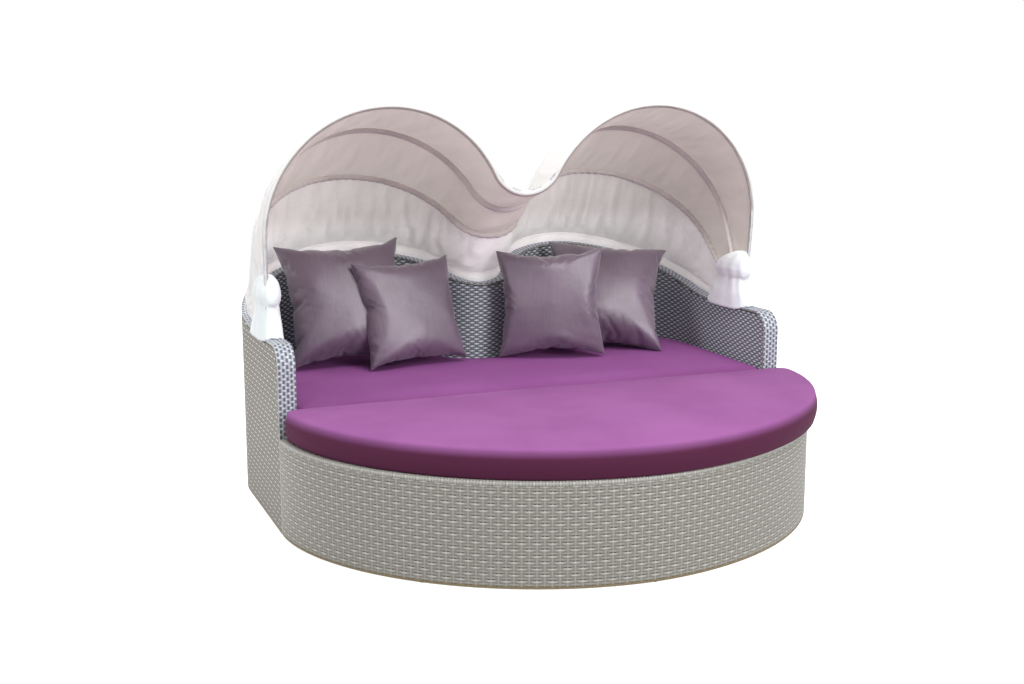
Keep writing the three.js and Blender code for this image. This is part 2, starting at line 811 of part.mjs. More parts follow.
function pillow({ size, thick }) {
  const n = pillowSteps;
  const points = [];
  const faces = [];
  const index = (side, i, j) => side * (n + 1) * (n + 1) + i * (n + 1) + j;
  for (const side of [-1, 1]) {
    for (let i = 0; i <= n; i += 1) {
      for (let j = 0; j <= n; j += 1) {
        const [u, v] = [(2 * i) / n - 1, (2 * j) / n - 1].map((t) => Math.sin((t * Math.PI) / 2));
        const x = (size / 2) * u * (1 - pinchShare * (1 - v * v) * u * u);
        const z = (size / 2) * v * (1 - pinchShare * (1 - u * u) * v * v);
        const swell = ((1 - u * u) * (1 - v * v)) ** 0.5;
        const y = side * (pillowEdge + (thick / 2 - pillowEdge) * swell);
        points.push(vec(x, y, z));
      }
    }
  }
  for (let side = 0; side < 2; side += 1) {
    for (let i = 0; i < n; i += 1) {
      for (let j = 0; j < n; j += 1) {
        const [a, b] = [index(side, i, j), index(side, i + 1, j)];
        const [c, d] = [index(side, i + 1, j + 1), index(side, i, j + 1)];
        if (side) faces.push([a, c, b], [a, d, c]);
        else faces.push([a, b, c], [a, c, d]);
      }
    }
  }
  const rim = [];
  for (let i = 0; i < n; i += 1) rim.push([i, 0]);
  for (let j = 0; j < n; j += 1) rim.push([n, j]);
  for (let i = n; i > 0; i -= 1) rim.push([i, n]);
  for (let j = n; j > 0; j -= 1) rim.push([0, j]);
  rim.forEach(([i, j], k) => {
    const [p, q] = rim[(k + 1) % rim.length];
    const [a, b] = [index(0, i, j), index(0, p, q)];
    const [c, d] = [index(1, p, q), index(1, i, j)];
    faces.push([a, c, b], [a, d, c]);
  });
  return solid(points, faces);
}

// Canopy

// One hoop's centre line, x across and h up its plane, s from 0 at the right end to 1
function hoopLine({ inset, centreShare, centreH, dip, leg }) {
  const centreX = centreShare * halfWidth;
  const lobe = halfWidth - inset - centreX;
  const start = eyeShank - weld;
  const legX = rearLegX + leg * legPitch;
  const rise = dip - centreH;
  const dipRadius = (centreX ** 2 + rise ** 2 - lobe ** 2) / (2 * (lobe - rise));
  const away = Math.hypot(legX - centreX, centreH);
  const tangent = Math.atan2(-centreH, legX - centreX) + Math.acos(lobe / away);
  const join = Math.atan2(dip + dipRadius - centreH, -centreX);
  const touch = [centreX + lobe * Math.cos(tangent), centreH + lobe * Math.sin(tangent)];
  const slope = (touch[0] - legX) / touch[1];
  const foot = [legX + slope * start, start];
  const legLength = Math.hypot(touch[0] - foot[0], touch[1] - foot[1]);
  const lobeArc = lobe * (join - tangent);
  const dipTurn = join - Math.PI / 2;
  const half = legLength + lobeArc + dipRadius * dipTurn;
  const rightHalf = (d) => {
    if (d < legLength) {
      const t = d / legLength;
      const size = Math.hypot(1, slope);
      return {
        x: foot[0] + (touch[0] - foot[0]) * t,
        h: foot[1] + (touch[1] - foot[1]) * t,
        nx: 1 / size,
        nh: -slope / size,
      };
    }
    if (d < legLength + lobeArc) {
      const a = tangent + (d - legLength) / lobe;
      const [nx, nh] = [Math.cos(a), Math.sin(a)];
      return { x: centreX + lobe * nx, h: centreH + lobe * nh, nx, nh };
    }
    const a = join - Math.PI - (d - legLength - lobeArc) / dipRadius;
    const [nx, nh] = [-Math.cos(a), -Math.sin(a)];
    return { x: -dipRadius * nx, h: dip + dipRadius - dipRadius * nh, nx, nh };
  };
  const at = (s) => {
    if (s <= 0.5) return rightHalf(2 * half * s);
    const p = rightHalf(2 * half * (1 - s));
    return { ...p, x: -p.x, nx: -p.nx };
  };
  return { at };
}

class HoopCurve extends THREE.Curve {
  constructor(hoop) {
    super();
    this.line = hoopLine(hoop);
  }

  getPoint(s, target = vec(0, 0, 0)) {
    const p = this.line.at(s);
    return target.set(p.x, p.h, 0);
  }
}

// Bent tube whose ends are eyes that turn on the bolts
function hoopTube(hoop) {
  const shape = new THREE.Shape();
  for (let i = 0; i < tubeSides; i += 1) {
    const a = (2 * Math.PI * i) / tubeSides;
    const p = [tubeRadius * Math.cos(a), tubeRadius * Math.sin(a)];
    if (i) shape.lineTo(...p);
    else shape.moveTo(...p);
  }
  shape.closePath();
  const extrudePath = new HoopCurve(hoop);
  const tube = new THREE.ExtrudeGeometry(shape, {
    steps: hoopSteps, extrudePath, bevelEnabled: false,
  });
  const eye = hoopEye(hoop);
  return join([tube, eye, mirrorX(eye)]);
}

function hoopEye(hoop) {
  const legX = rearLegX + hoop.leg * legPitch;
  const half = tubeRadius * eyeFlatShare;
  const angle = Math.asin(half / eyeRadius);
  const shape = new THREE.Shape();
  shape.moveTo(half, eyeShank);
  shape.lineTo(-half, eyeShank);
  shape.absarc(0, 0, eyeRadius, Math.PI / 2 + angle, Math.PI * 2.5 - angle, false);
  shape.closePath();
  const hole = new THREE.Path();
  hole.absarc(0, 0, boltRadius + boltClearance, 0, Math.PI * 2, true);
  shape.holes.push(hole);
  const eye = new THREE.ExtrudeGeometry(shape, {
    depth: eyeWidth, bevelEnabled: false, curveSegments: boreSegments,
  });
  eye.rotateY(Math.PI / 2);
  eye.translate(legX - eyeWidth / 2, 0, 0);
  return eye;
}

// Cloth sleeve round a hoop: an open ring of cloth between two angles of the tube's section,
// where 90 degrees faces outwards and 270 degrees faces the seat
function sleeve(hoop) {
  const { from, to, flats } = hoop.sleeve;
  const line = hoopLine(hoop);
  const inner = tubeRadius + sleeveGap;
  const outer = inner + sleeveThickness;
  const inside = [];
  const outside = [];
  for (let i = 0; i <= flats; i += 1) {
    const a = toRadians(from + ((to - from) * i) / flats);
    inside.push([inner * Math.sin(a), inner * Math.cos(a)]);
    outside.push([outer * Math.sin(a), outer * Math.cos(a)]);
  }
  const grow = 1 / Math.cos(toRadians((to - from) / flats / 2)); // flats stay clear of the tube
  const section = [...outside, ...inside.map(([a, b]) => [a * grow, b * grow]).reverse()];
  const frames = [];
  for (let i = bareSteps; i <= hoopSteps - bareSteps; i += 1) {
    const p = line.at(i / hoopSteps);
    frames.push({ origin: vec(p.x, p.h, 0), across: vec(p.nx, p.nh, 0), up: vec(0, 0, -1) });
  }
  return sweep(frames, () => section);
}

// Place along a hoop for cloth that covers all but its ends, s from 0 to 1
const clothPlace = (s) => (bareSteps + s * clothSteps) / hoopSteps;

// A point beside a hoop, in the back section's frame: out from it and back from its plane
function besideHoop(hoop, s, out, back) {
  const p = hoopLine(hoop).at(clothPlace(s));
  const point = vec(p.x + p.nx * out, p.h + p.nh * out, -back);
  point.applyAxisAngle(vec(1, 0, 0), toRadians(hoop.angle));
  return point.add(vec(0, pivotY, pivotZ));
}

function hemPlaces() {
  return wallPlaces(hemStart);
}

// A point on the hem, s from 0 at the right end to 1, `up` above the top of the wall
function hemPoint(s, up) {
  const run = 2 * (halfPath - hemStart) * s;
  const left = s > 0.5;
  const p = wallPlace(hemStart + (left ? 2 * (halfPath - hemStart) - run : run));
  const x = p.x + p.nx * hemOffset;
  return vec(left ? -x : x, p.y + p.ny * hemOffset, wallTop(p.s) + up);
}

// A sheet of cloth between two edges, with a sag towards the seat and shallow folds
function panel(edgeA, edgeB, { sag, folds, inward }) {
  const middle = [];
  for (let i = 0; i <= clothSteps; i += 1) {
    const s = i / clothSteps;
    const [a, b] = [edgeA(s), edgeB(s)];
    const row = [];
    for (let j = 0; j <= clothRows; j += 1) {
      const t = j / clothRows;
      const p = a.clone().lerp(b, t);
      const depth = 4 * t * (1 - t) * (sag + folds * Math.cos(s * Math.PI * clothSteps / 2));
      row.push(p.addScaledVector(inward(s), depth));
    }
    middle.push(row);
  }
  const clamp = (k, high) => Math.min(high, Math.max(0, k));
  const normal = (i, j) => {
    const along = middle[clamp(i + 1, clothSteps)][j].clone().sub(middle[clamp(i - 1, clothSteps)][j]);
    const over = middle[i][clamp(j + 1, clothRows)].clone().sub(middle[i][clamp(j - 1, clothRows)]);
    return along.cross(over).normalize();
  };
  const points = [];
  for (const side of [-0.5, 0.5]) {
    middle.forEach((row, i) => row.forEach((p, j) => {
      points.push(p.clone().addScaledVector(normal(i, j), side * clothThickness));
    }));
  }
  const width = clothRows + 1;
  const index = (side, i, j) => side * (clothSteps + 1) * width + i * width + j;
  const faces = [];
  const quad = (a, b, c, d) => faces.push([a, b, c], [a, c, d]);
  for (let i = 0; i < clothSteps; i += 1) {
    for (let j = 0; j < clothRows; j += 1) {
      quad(index(0, i, j), index(0, i + 1, j), index(0, i + 1, j + 1), index(0, i, j + 1));
      quad(index(1, i, j + 1), index(1, i + 1, j + 1), index(1, i + 1, j), index(1, i, j));
    }
    quad(index(0, i + 1, 0), index(0, i, 0), index(1, i, 0), index(1, i + 1, 0));
    const j = clothRows;
    quad(index(0, i, j), index(0, i + 1, j), index(1, i + 1, j), index(1, i, j));
  }
  for (let j = 0; j < clothRows; j += 1) {
    quad(index(0, 0, j), index(0, 0, j + 1), index(1, 0, j + 1), index(1, 0, j));
    const i = clothSteps;
    quad(index(0, i, j + 1), index(0, i, j), index(1, i, j), index(1, i, j + 1));
  }
  return solid(points, faces);
}

const clothOut = tubeRadius + clothThickness; // cloth passes over the outside of a hoop
const clothPart = clothThickness / 2; // panels part by this much over a hoop

function inwardOf(hoop, angle) {
  return (s) => {
    const p = hoopLine(hoop).at(clothPlace(s));
    return vec(-p.nx, -p.nh, 0).applyAxisAngle(vec(1, 0, 0), toRadians(angle));
  };
}

function frontPanel() {
  const { front, middle } = hoops;
  const edge = tubeRadius + sleeveGap + sleeveThickness + clothPart;
  return panel(
    (s) => besideHoop(front, s, tubeRadius / 2, edge),
    (s) => besideHoop(middle, s, clothOut, -clothPart),
    { sag: frontSag, folds: foldDepth, inward: inwardOf(middle, (front.angle + middle.angle) / 2) },
  );
}

function middlePanel() {
  const { middle, rear } = hoops;
  return panel(
    (s) => besideHoop(middle, s, clothOut, clothPart),
    (s) => besideHoop(rear, s, clothOut, -clothPart),
    { sag: middleSag, folds: foldDepth, inward: inwardOf(rear, (middle.angle + rear.angle) / 2) },
  );
}

function rearPanel() {
  const { rear } = hoops;
  const up = slopeGap + hemHeight + pipingHeight + seam + clothPart;
  return panel(
    (s) => besideHoop(rear, s, clothOut, clothPart),
    (s) => hemPoint(s, up),
    { sag: rearSag, folds: rearFoldDepth, inward: inwardOf(rear, rear.angle / 2) },
  );
}

function hem() {
  const [half, pipe] = [hemThickness / 2, pipingWidth / 2];
  const frames = hemPlaces().map((p) => {
    const frame = planFrame(p);
    frame.origin.z = wallTop(p.s) + slopeGap;
    return frame;
  });
  const section = [
    [hemOffset - half, 0], [hemOffset + half, 0], [hemOffset + half, hemHeight],
    [hemOffset + pipe, hemHeight + pipingHeight / 2], [hemOffset, hemHeight + pipingHeight],
    [hemOffset - pipe, hemHeight + pipingHeight / 2], [hemOffset - half, hemHeight],
  ];
  return sweep(frames, () => section);
}

// A cap of cloth round the feet of the hoops, open to the back, where the panels leave it
function boot() {
  const round = (inset, y) => {
    const radius = bootRound - inset;
    const front = y + bootRound;
    const left = cornerArc(bootInnerX + bootRound, front, radius, Math.PI, bootCornerSteps);
    const right = cornerArc(bootOuterX - bootRound, front, radius, Math.PI * 1.5, bootCornerSteps);
    return [...left, ...right];
  };
  const base = armHeight + bootLift;
  const rings = bootShares.map(([rise, back, front]) => {
    const y0 = bootFrontY + front * bootLength;
    const y1 = bootFrontY + back * bootLength;
    const [x0, x1] = [bootInnerX, bootOuterX];
    const outer = [[x0, y1], ...round(0, y0), [x1, y1]];
    const inner = [
      [x1 - bootThickness, y1], ...round(bootThickness, y0).reverse(), [x0 + bootThickness, y1],
    ];
    return [...outer, ...inner].map(([x, y]) => vec(x, y, base + rise * bootHeight));
  });
  return loft(rings);
}

// Pivot hardware on the right arm, mirrored for the left one

const stackInner = rearLegX - eyeWidth / 2 - 2 * seam;
const stackOuter = rearLegX + 2 * legPitch + eyeWidth / 2 + 2 * seam;

function pivotBracket() {
  const base = armHeight + seam - pivotZ;
  const half = bracketLength / 2;
  const outline = new THREE.Shape();
  outline.moveTo(-half, base);
  outline.lineTo(half, base);
  outline.lineTo(half, base + bracketPlate);
  outline.absarc(0, 0, cheekRadius, 0, Math.PI, false);
  outline.lineTo(-half, base + bracketPlate);
  outline.closePath();
  const [x0, x1] = [stackInner - cheekThickness, stackOuter + cheekThickness];
  const body = new THREE.ExtrudeGeometry(outline, {
    depth: x1 - x0, bevelEnabled: false, curveSegments: boreSegments,
  });
  body.rotateY(Math.PI / 2);
  body.rotateX(Math.PI / 2);
  body.translate(x0, 0, 0);
  const overrun = cheekRadius;
  const space = block(
    stackInner, stackOuter, -half - overrun, half + overrun,
    base + bracketPlate, cheekRadius + overrun,
  );
  const bore = cylinderX(x0 - overrun, x1 + overrun, boltRadius + seam, boreSides);
  const made = toManifold(body).subtract(toManifold(space)).subtract(toManifold(bore));
  let result = made;
  for (const y of [-screwSpacing / 2, screwSpacing / 2]) {
    const x = (stackInner + stackOuter) / 2;
    const hole = cylinderZ(x, y, base - overrun, base + bracketPlate + overrun, screwRadius, screwSides);
    result = result.subtract(toManifold(hole));
  }
  return fromManifold(result);
}

const boltEnd = cheekThickness + seam + boltHead;

function pivotBolt() {
  const shank = cylinderX(stackInner - boltEnd, stackOuter + boltEnd - weld, boltRadius, boreSides);
  const head = cylinderX(
    stackOuter + cheekThickness + seam, stackOuter + boltEnd, boltHeadRadius, hexSides,
  );
  return join([shank, head]);
}

function pivotNut() {
  const [x0, x1] = [stackInner - boltEnd, stackInner - cheekThickness - seam];
  const nut = cylinderX(x0, x1, boltHeadRadius, hexSides);
  const bore = cylinderX(x0 - boltHead, x1 + boltHead, boltRadius + seam, boreSides);
  return fromManifold(toManifold(nut).subtract(toManifold(bore)));
}

function pivotSpacer(k) {
  const shape = new THREE.Shape();
  shape.absarc(0, 0, washerRadius, 0, Math.PI * 2, false);
  const hole = new THREE.Path();
  hole.absarc(0, 0, boltRadius + seam, 0, Math.PI * 2, true);
  shape.holes.push(hole);
  const ring = new THREE.ExtrudeGeometry(shape, {
    depth: washerThickness, bevelEnabled: false, curveSegments: boreSegments,
  });
  ring.rotateY(Math.PI / 2);
  ring.translate(rearLegX + (k + 0.5) * legPitch - washerThickness / 2, 0, 0);
  return ring;
}

function bracketScrew(y) {
  const base = armHeight + seam - pivotZ + bracketPlate + seam;
  const x = (stackInner + stackOuter) / 2;
  return cylinderZ(x, y, base, base + screwHead, screwHeadRadius, screwSides);
}

// Assembly

const daybed = new THREE.Group();
const section = new THREE.Group(); // arm fronts at y = 0
section.position.y = (frontDepth - (armLength + lobeRadius + halfWall)) / 2;
daybed.add(section);

function add(parent, name, geometry, material) {
  const mesh = new THREE.Mesh(geometry, material);
  mesh.name = name;
  parent.add(mesh);
  return mesh;
}

add(section, "wall_weave", wallWeave(), wicker);
add(section, "edge_band", edgeBand(), wickerBand);
add(section, "wall_frame", wallFrame(), frameMetal);
add(section, "seat_deck", seatDeck(), frameMetal);
add(section, "seat_front_weave", frontWeave(), wicker);
seatGlidePlaces().forEach((place, i) => {
  add(section, `seat_glide_${i + 1}`, glide(place), rubber);
});
add(section, "seat_cushion", seatCushion(), plumCloth);

add(section, "moon_weave", moonWeave(), wicker);
add(section, "moon_edge_band", moonBand(), wickerBand);
add(section, "moon_back_weave", moonBackWeave(), wicker);
add(section, "moon_frame", moonFrame(), frameMetal);
add(section, "moon_deck", moonDeck(), frameMetal);
moonGlidePlaces().forEach((place, i) => {
  add(section, `moon_glide_${i + 1}`, glide(place), rubber);
});
add(section, "moon_cushion", moonCushion(), plumCloth);

for (const item of pillows) {
  const mesh = add(section, item.name, pillow(item), pillowCloth);
  const [turn, lean, roll] = [item.turn, item.lean, item.roll].map(toRadians);
  mesh.rotation.set(-lean, -roll, turn, "ZXY");
  const [x, y] = item.placeShares.map((share) => share * halfWidth);
  mesh.position.set(x, y, 0);
  mesh.updateMatrixWorld(true);
  const low = new THREE.Box3().setFromObject(mesh, true).min.z;
  mesh.position.z = seatCushionTop + pillowRest - low;
}

const axis = new THREE.Group(); // the canopy's axis
axis.position.set(0, pivotY, pivotZ);
section.add(axis);

// Adds a piece of the right arm and its mirror image on the left arm
function addPair(parent, name, geometry, material) {
  add(parent, `right_${name}`, geometry, material);
  add(parent, `left_${name}`, mirrorX(geometry), material);
}

addPair(axis, "pivot_bracket", pivotBracket(), steel);
addPair(axis, "pivot_bolt", pivotBolt(), steel);
addPair(axis, "pivot_nut", pivotNut(), steel);
addPair(axis, "pivot_spacer_inner", pivotSpacer(0), rubber);
addPair(axis, "pivot_spacer_outer", pivotSpacer(1), rubber);
addPair(axis, "bracket_screw_front", bracketScrew(-screwSpacing / 2), steel);
addPair(axis, "bracket_screw_back", bracketScrew(screwSpacing / 2), steel);

for (const [name, hoop] of Object.entries(hoops)) {
  const plane = new THREE.Group();
  plane.rotation.x = toRadians(hoop.angle);
  axis.add(plane);
  add(plane, `${name}_hoop`, hoopTube(hoop), hoopMetal);
  add(plane, `${name}_sleeve`, sleeve(hoop), canopyCloth);
}
add(section, "front_panel", frontPanel(), canopyCloth);
add(section, "middle_panel", middlePanel(), canopyCloth);
add(section, "rear_panel", rearPanel(), canopyCloth);
add(section, "canopy_hem", hem(), canopyCloth);
addPair(section, "boot", boot(), canopyCloth);

export default daybed;
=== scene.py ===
import math

import bpy
import numpy as np
from mathutils import Matrix, Vector, noise


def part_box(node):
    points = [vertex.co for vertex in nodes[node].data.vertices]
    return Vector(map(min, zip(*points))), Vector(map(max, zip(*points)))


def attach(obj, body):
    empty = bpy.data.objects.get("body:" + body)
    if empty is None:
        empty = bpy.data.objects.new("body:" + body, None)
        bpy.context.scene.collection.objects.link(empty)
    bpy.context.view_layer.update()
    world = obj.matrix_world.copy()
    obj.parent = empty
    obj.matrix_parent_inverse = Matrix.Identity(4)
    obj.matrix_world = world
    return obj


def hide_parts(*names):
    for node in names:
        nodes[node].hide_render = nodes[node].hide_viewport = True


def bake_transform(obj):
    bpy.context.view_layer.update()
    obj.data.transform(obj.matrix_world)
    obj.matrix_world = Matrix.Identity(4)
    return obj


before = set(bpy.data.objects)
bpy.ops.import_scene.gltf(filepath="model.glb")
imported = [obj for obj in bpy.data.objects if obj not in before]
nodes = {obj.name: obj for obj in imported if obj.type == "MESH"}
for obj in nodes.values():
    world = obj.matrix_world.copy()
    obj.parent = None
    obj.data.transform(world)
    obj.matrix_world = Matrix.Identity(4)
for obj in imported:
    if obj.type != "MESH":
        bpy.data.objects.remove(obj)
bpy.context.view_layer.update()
print("frame loaded:", len(nodes), "nodes")


# general tools

def clearSelection():
    if bpy.context.object and bpy.context.object.mode != "OBJECT":
        bpy.ops.object.mode_set(mode="OBJECT")
    bpy.ops.object.select_all(action="DESELECT")


def pick(piece):
    clearSelection()
    piece.select_set(True)
    bpy.context.view_layer.objects.active = piece


def applyAll(piece):
    pick(piece)
    for modifier in list(piece.modifiers):
        bpy.ops.object.modifier_apply(modifier=modifier.name)


def smooth(piece, angle=None):
    pick(piece)
    if angle is None:
        bpy.ops.object.shade_smooth()
    else:
        bpy.ops.object.shade_smooth_by_angle(angle=math.radians(angle))


def addModifier(piece, kind, **settings):
    modifier = piece.modifiers.new(kind.title(), kind)
    for key, value in settings.items():
        setattr(modifier, key, value)
    return modifier


def thicken(piece, thickness, angle=None, **settings):
    # a skin gets its thickness on the inner side
    addModifier(piece, "SOLIDIFY", thickness=thickness, offset=-1, **settings)
    applyAll(piece)
    smooth(piece, angle)


def editMesh(piece, operator, **settings):
    pick(piece)
    bpy.ops.object.mode_set(mode="EDIT")
    bpy.ops.mesh.select_all(action="SELECT")
    operator(**settings)
    bpy.ops.object.mode_set(mode="OBJECT")


def turnFaces(piece):
    editMesh(piece, bpy.ops.mesh.flip_normals)


def seal(piece, ends=False, distance=1e-5):
    # its seam is joined, its open ends are closed, and its faces look outwards
    editMesh(piece, bpy.ops.mesh.remove_doubles, threshold=distance)
    if ends:
        editMesh(piece, bpy.ops.mesh.fill_holes, sides=0)
    editMesh(piece, bpy.ops.mesh.normals_make_consistent, inside=False)


def pointsOf(piece):
    points = np.empty(len(piece.data.vertices) * 3)
    piece.data.vertices.foreach_get("co", points)
    return points.reshape(-1, 3)


def movePoints(piece, points):
    piece.data.vertices.foreach_set("co", np.ascontiguousarray(points, dtype=np.float32).ravel())
    piece.data.update()


def bentSheet(name, across, along, place):
    # place(u, v) gives the points and their UV, both in metres
    clearSelection()
    bpy.ops.mesh.primitive_grid_add(x_subdivisions=across, y_subdivisions=along, size=1, calc_uvs=True)
    piece = bpy.context.object
    piece.name = piece.data.name = name
    flat = pointsOf(piece)
    points, uv = place(flat[:, 0] + 0.5, flat[:, 1] + 0.5)
    movePoints(piece, points)
    corners = np.empty(len(piece.data.loops), dtype=np.int32)
    piece.data.loops.foreach_get("vertex_index", corners)
    piece.data.uv_layers[0].data.foreach_set("uv", uv[corners].astype(np.float32).ravel())
    return piece


def stacked(*columns):
    return np.stack(np.broadcast_arrays(*columns), axis=-1)


def rowOf(share, rows):
    return np.rint(share * (rows - 1)).astype(int)


def sweep(name, origin, across, up, section, chart):
    # a section carried along a row of places, where chart(i, k) gives the UV
    def place(u, v):
        i, k = rowOf(u, len(origin)), rowOf(v, len(section))
        points = origin[i] + across[i] * section[k, :1] + up[i] * section[k, 1:]
        return points, np.stack(chart(i, k), axis=-1)

    return bentSheet(name, len(origin) - 1, len(section) - 1, place)


def roll(points, size, seed=0.0):
    # smooth noise from -1 to 1 at points, with lumps about `size` metres wide
    return np.array([noise.noise(Vector(p) / size + Vector((seed, seed * 1.7, -seed))) for p in points])


def smoothStep(low, high, value):
    t = np.clip((value - low) / (high - low), 0, 1)
    return t * t * (3 - 2 * t)


def lengthAlong(points):
    # distance run along a row of points
    return np.concatenate([[0], np.cumsum(np.linalg.norm(np.diff(points, axis=0), axis=1))])


def finished(piece, body, slot, stands, *finishes):
    for made in finishes:
        piece.data.materials.append(made)
    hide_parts(stands)
    if body:
        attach(piece, body)


def runCloth(piece, frames, settings, gravity):
    # a cloth simulation, whose last frame is kept in the mesh
    cloth = addModifier(piece, "CLOTH")
    for key, value in settings.items():
        setattr(cloth.settings, key, value)
    cloth.settings.effector_weights.gravity = gravity
    cloth.collision_settings.use_collision = False
    for step in range(1, frames + 1):
        bpy.context.scene.frame_set(step)
    applyAll(piece)
    bpy.context.scene.frame_set(1)


# finishes

def paint(red, green, blue):
    # a colour as it looks, 0 to 255, in the light that the shader works in
    return tuple(((c / 255 + 0.055) / 1.055) ** 2.4 if c > 10 else c / 255 / 12.92
                 for c in (red, green, blue)) + (1.0,)


class Socket:
    # a shader socket, so that sums on it add Math nodes
    def __init__(self, home, plug):
        self.home, self.plug = home, plug

    def out(self, name):
        return Socket(self.home, self.plug.node.outputs[name])

    def maths(self, operation, *values):
        return self.home.add("ShaderNodeMath", {"operation": operation}, dict(enumerate((self, *values))))

    def __add__(self, other):
        return self.maths("ADD", other)

    def __sub__(self, other):
        return self.maths("SUBTRACT", other)

    def __rsub__(self, other):
        return self.maths("MULTIPLY_ADD", -1.0, other)

    def __mul__(self, other):
        return self.maths("MULTIPLY", other)

    def __truediv__(self, other):
        return self.maths("DIVIDE", other)

    def __pow__(self, other):
        return self.maths("POWER", other)

    def __neg__(self):
        return self.maths("MULTIPLY", -1.0)

    __radd__ = __add__
    __rmul__ = __mul__

    def between(self, low, high):
        # 0 below low, 1 above high, smooth between them
        return self.home.add("ShaderNodeMapRange", {"interpolation_type": "SMOOTHSTEP"},
                             {0: self, 1: low, 2: high, 3: 0.0, 4: 1.0})


class ShaderTree:
    def __init__(self, tree):
        self.tree = tree
        self.output = next(node for node in tree.nodes if node.type.startswith("OUTPUT"))

    def add(self, kind, settings, values):
        node = self.tree.nodes.new(kind)
        for key, value in settings.items():
            setattr(node, key, value)
        for key, value in values.items():
            self.join(value, node.inputs[key])
        return Socket(self, next(plug for plug in node.outputs if plug.enabled))

    def join(self, value, target):
        if isinstance(value, Socket):
            self.tree.links.new(value.plug, target)
        else:
            target.default_value = value

    def show(self, factor, first, second):
        # the surface is a mix of two shaders
        mix = self.add("ShaderNodeMixShader", {}, {0: factor, 1: first, 2: second})
        self.join(mix, self.output.inputs["Surface"])

    def seen(self):
        # 1 for what the camera sees, also in metal and through glass
        path = self.add("ShaderNodeLightPath", {}, {})
        direct = path.out("Is Camera Ray").maths("MAXIMUM", path.out("Is Glossy Ray"))
        return direct.maths("MAXIMUM", path.out("Is Transmission Ray"))


class Finish(ShaderTree):
    def __init__(self, name, roughness, **constants):
        self.material = bpy.data.materials.new(name)
        self.material.use_nodes = True
        super().__init__(self.material.node_tree)
        self.shader = self.tree.nodes["Principled BSDF"]
        self.own = Socket(self, self.shader.outputs[0])
        self.shader.inputs["Roughness"].default_value = roughness
        for key, value in constants.items():
            self.shader.inputs[key.replace("_", " ")].default_value = value

    def feed(self, name, value):
        self.join(value, self.shader.inputs[name])

    def mixed(self, factor, first, second):
        return self.add("ShaderNodeMix", {"data_type": "RGBA"}, {0: factor, 6: first, 7: second})

    def shaded(self, colour, value):
        # a colour made darker or lighter by a number
        start = colour if isinstance(colour, Socket) else colour[:3]
        return self.add("ShaderNodeVectorMath", {"operation": "SCALE"}, {0: start, "Scale": value})

    def place(self):
        return self.add("ShaderNodeTexCoord", {}, {}).out("Object")

    def uv(self):
        chart = self.add("ShaderNodeUVMap", {}, {})
        parts = self.add("ShaderNodeSeparateXYZ", {}, {0: chart})
        return parts.out("X"), parts.out("Y")

    def point(self, x, y):
        return self.add("ShaderNodeCombineXYZ", {}, {0: x, 1: y, 2: 0.0})

    def cloud(self, where, scale, detail=2.0, rough=0.5):
        return self.add("ShaderNodeTexNoise", {}, {"Vector": where, "Scale": scale,
                                                   "Detail": detail, "Roughness": rough})

    def bump(self, height, distance, strength=1.0, below=None):
        values = {"Height": height, "Distance": distance, "Strength": strength}
        if below is not None:
            values["Normal"] = below
        return self.add("ShaderNodeBump", {}, values)


weaveShape = {
    "pair": 0.25,  # strands of a pair lie this far from the middle of their row, in rows
    "wave": 0.55, "crown": 0.45, "warpCrown": 0.25,  # height of a strand's wave and of the crowns
    "strandUp": 1.6, "warpUp": 1.5, "floor": 1.6, "closed": 0.9, "holeFloor": 1.5,  # above and below the holes
    "tone": 0.16, "grain": 0.12, "warpGrain": 0.2,
}


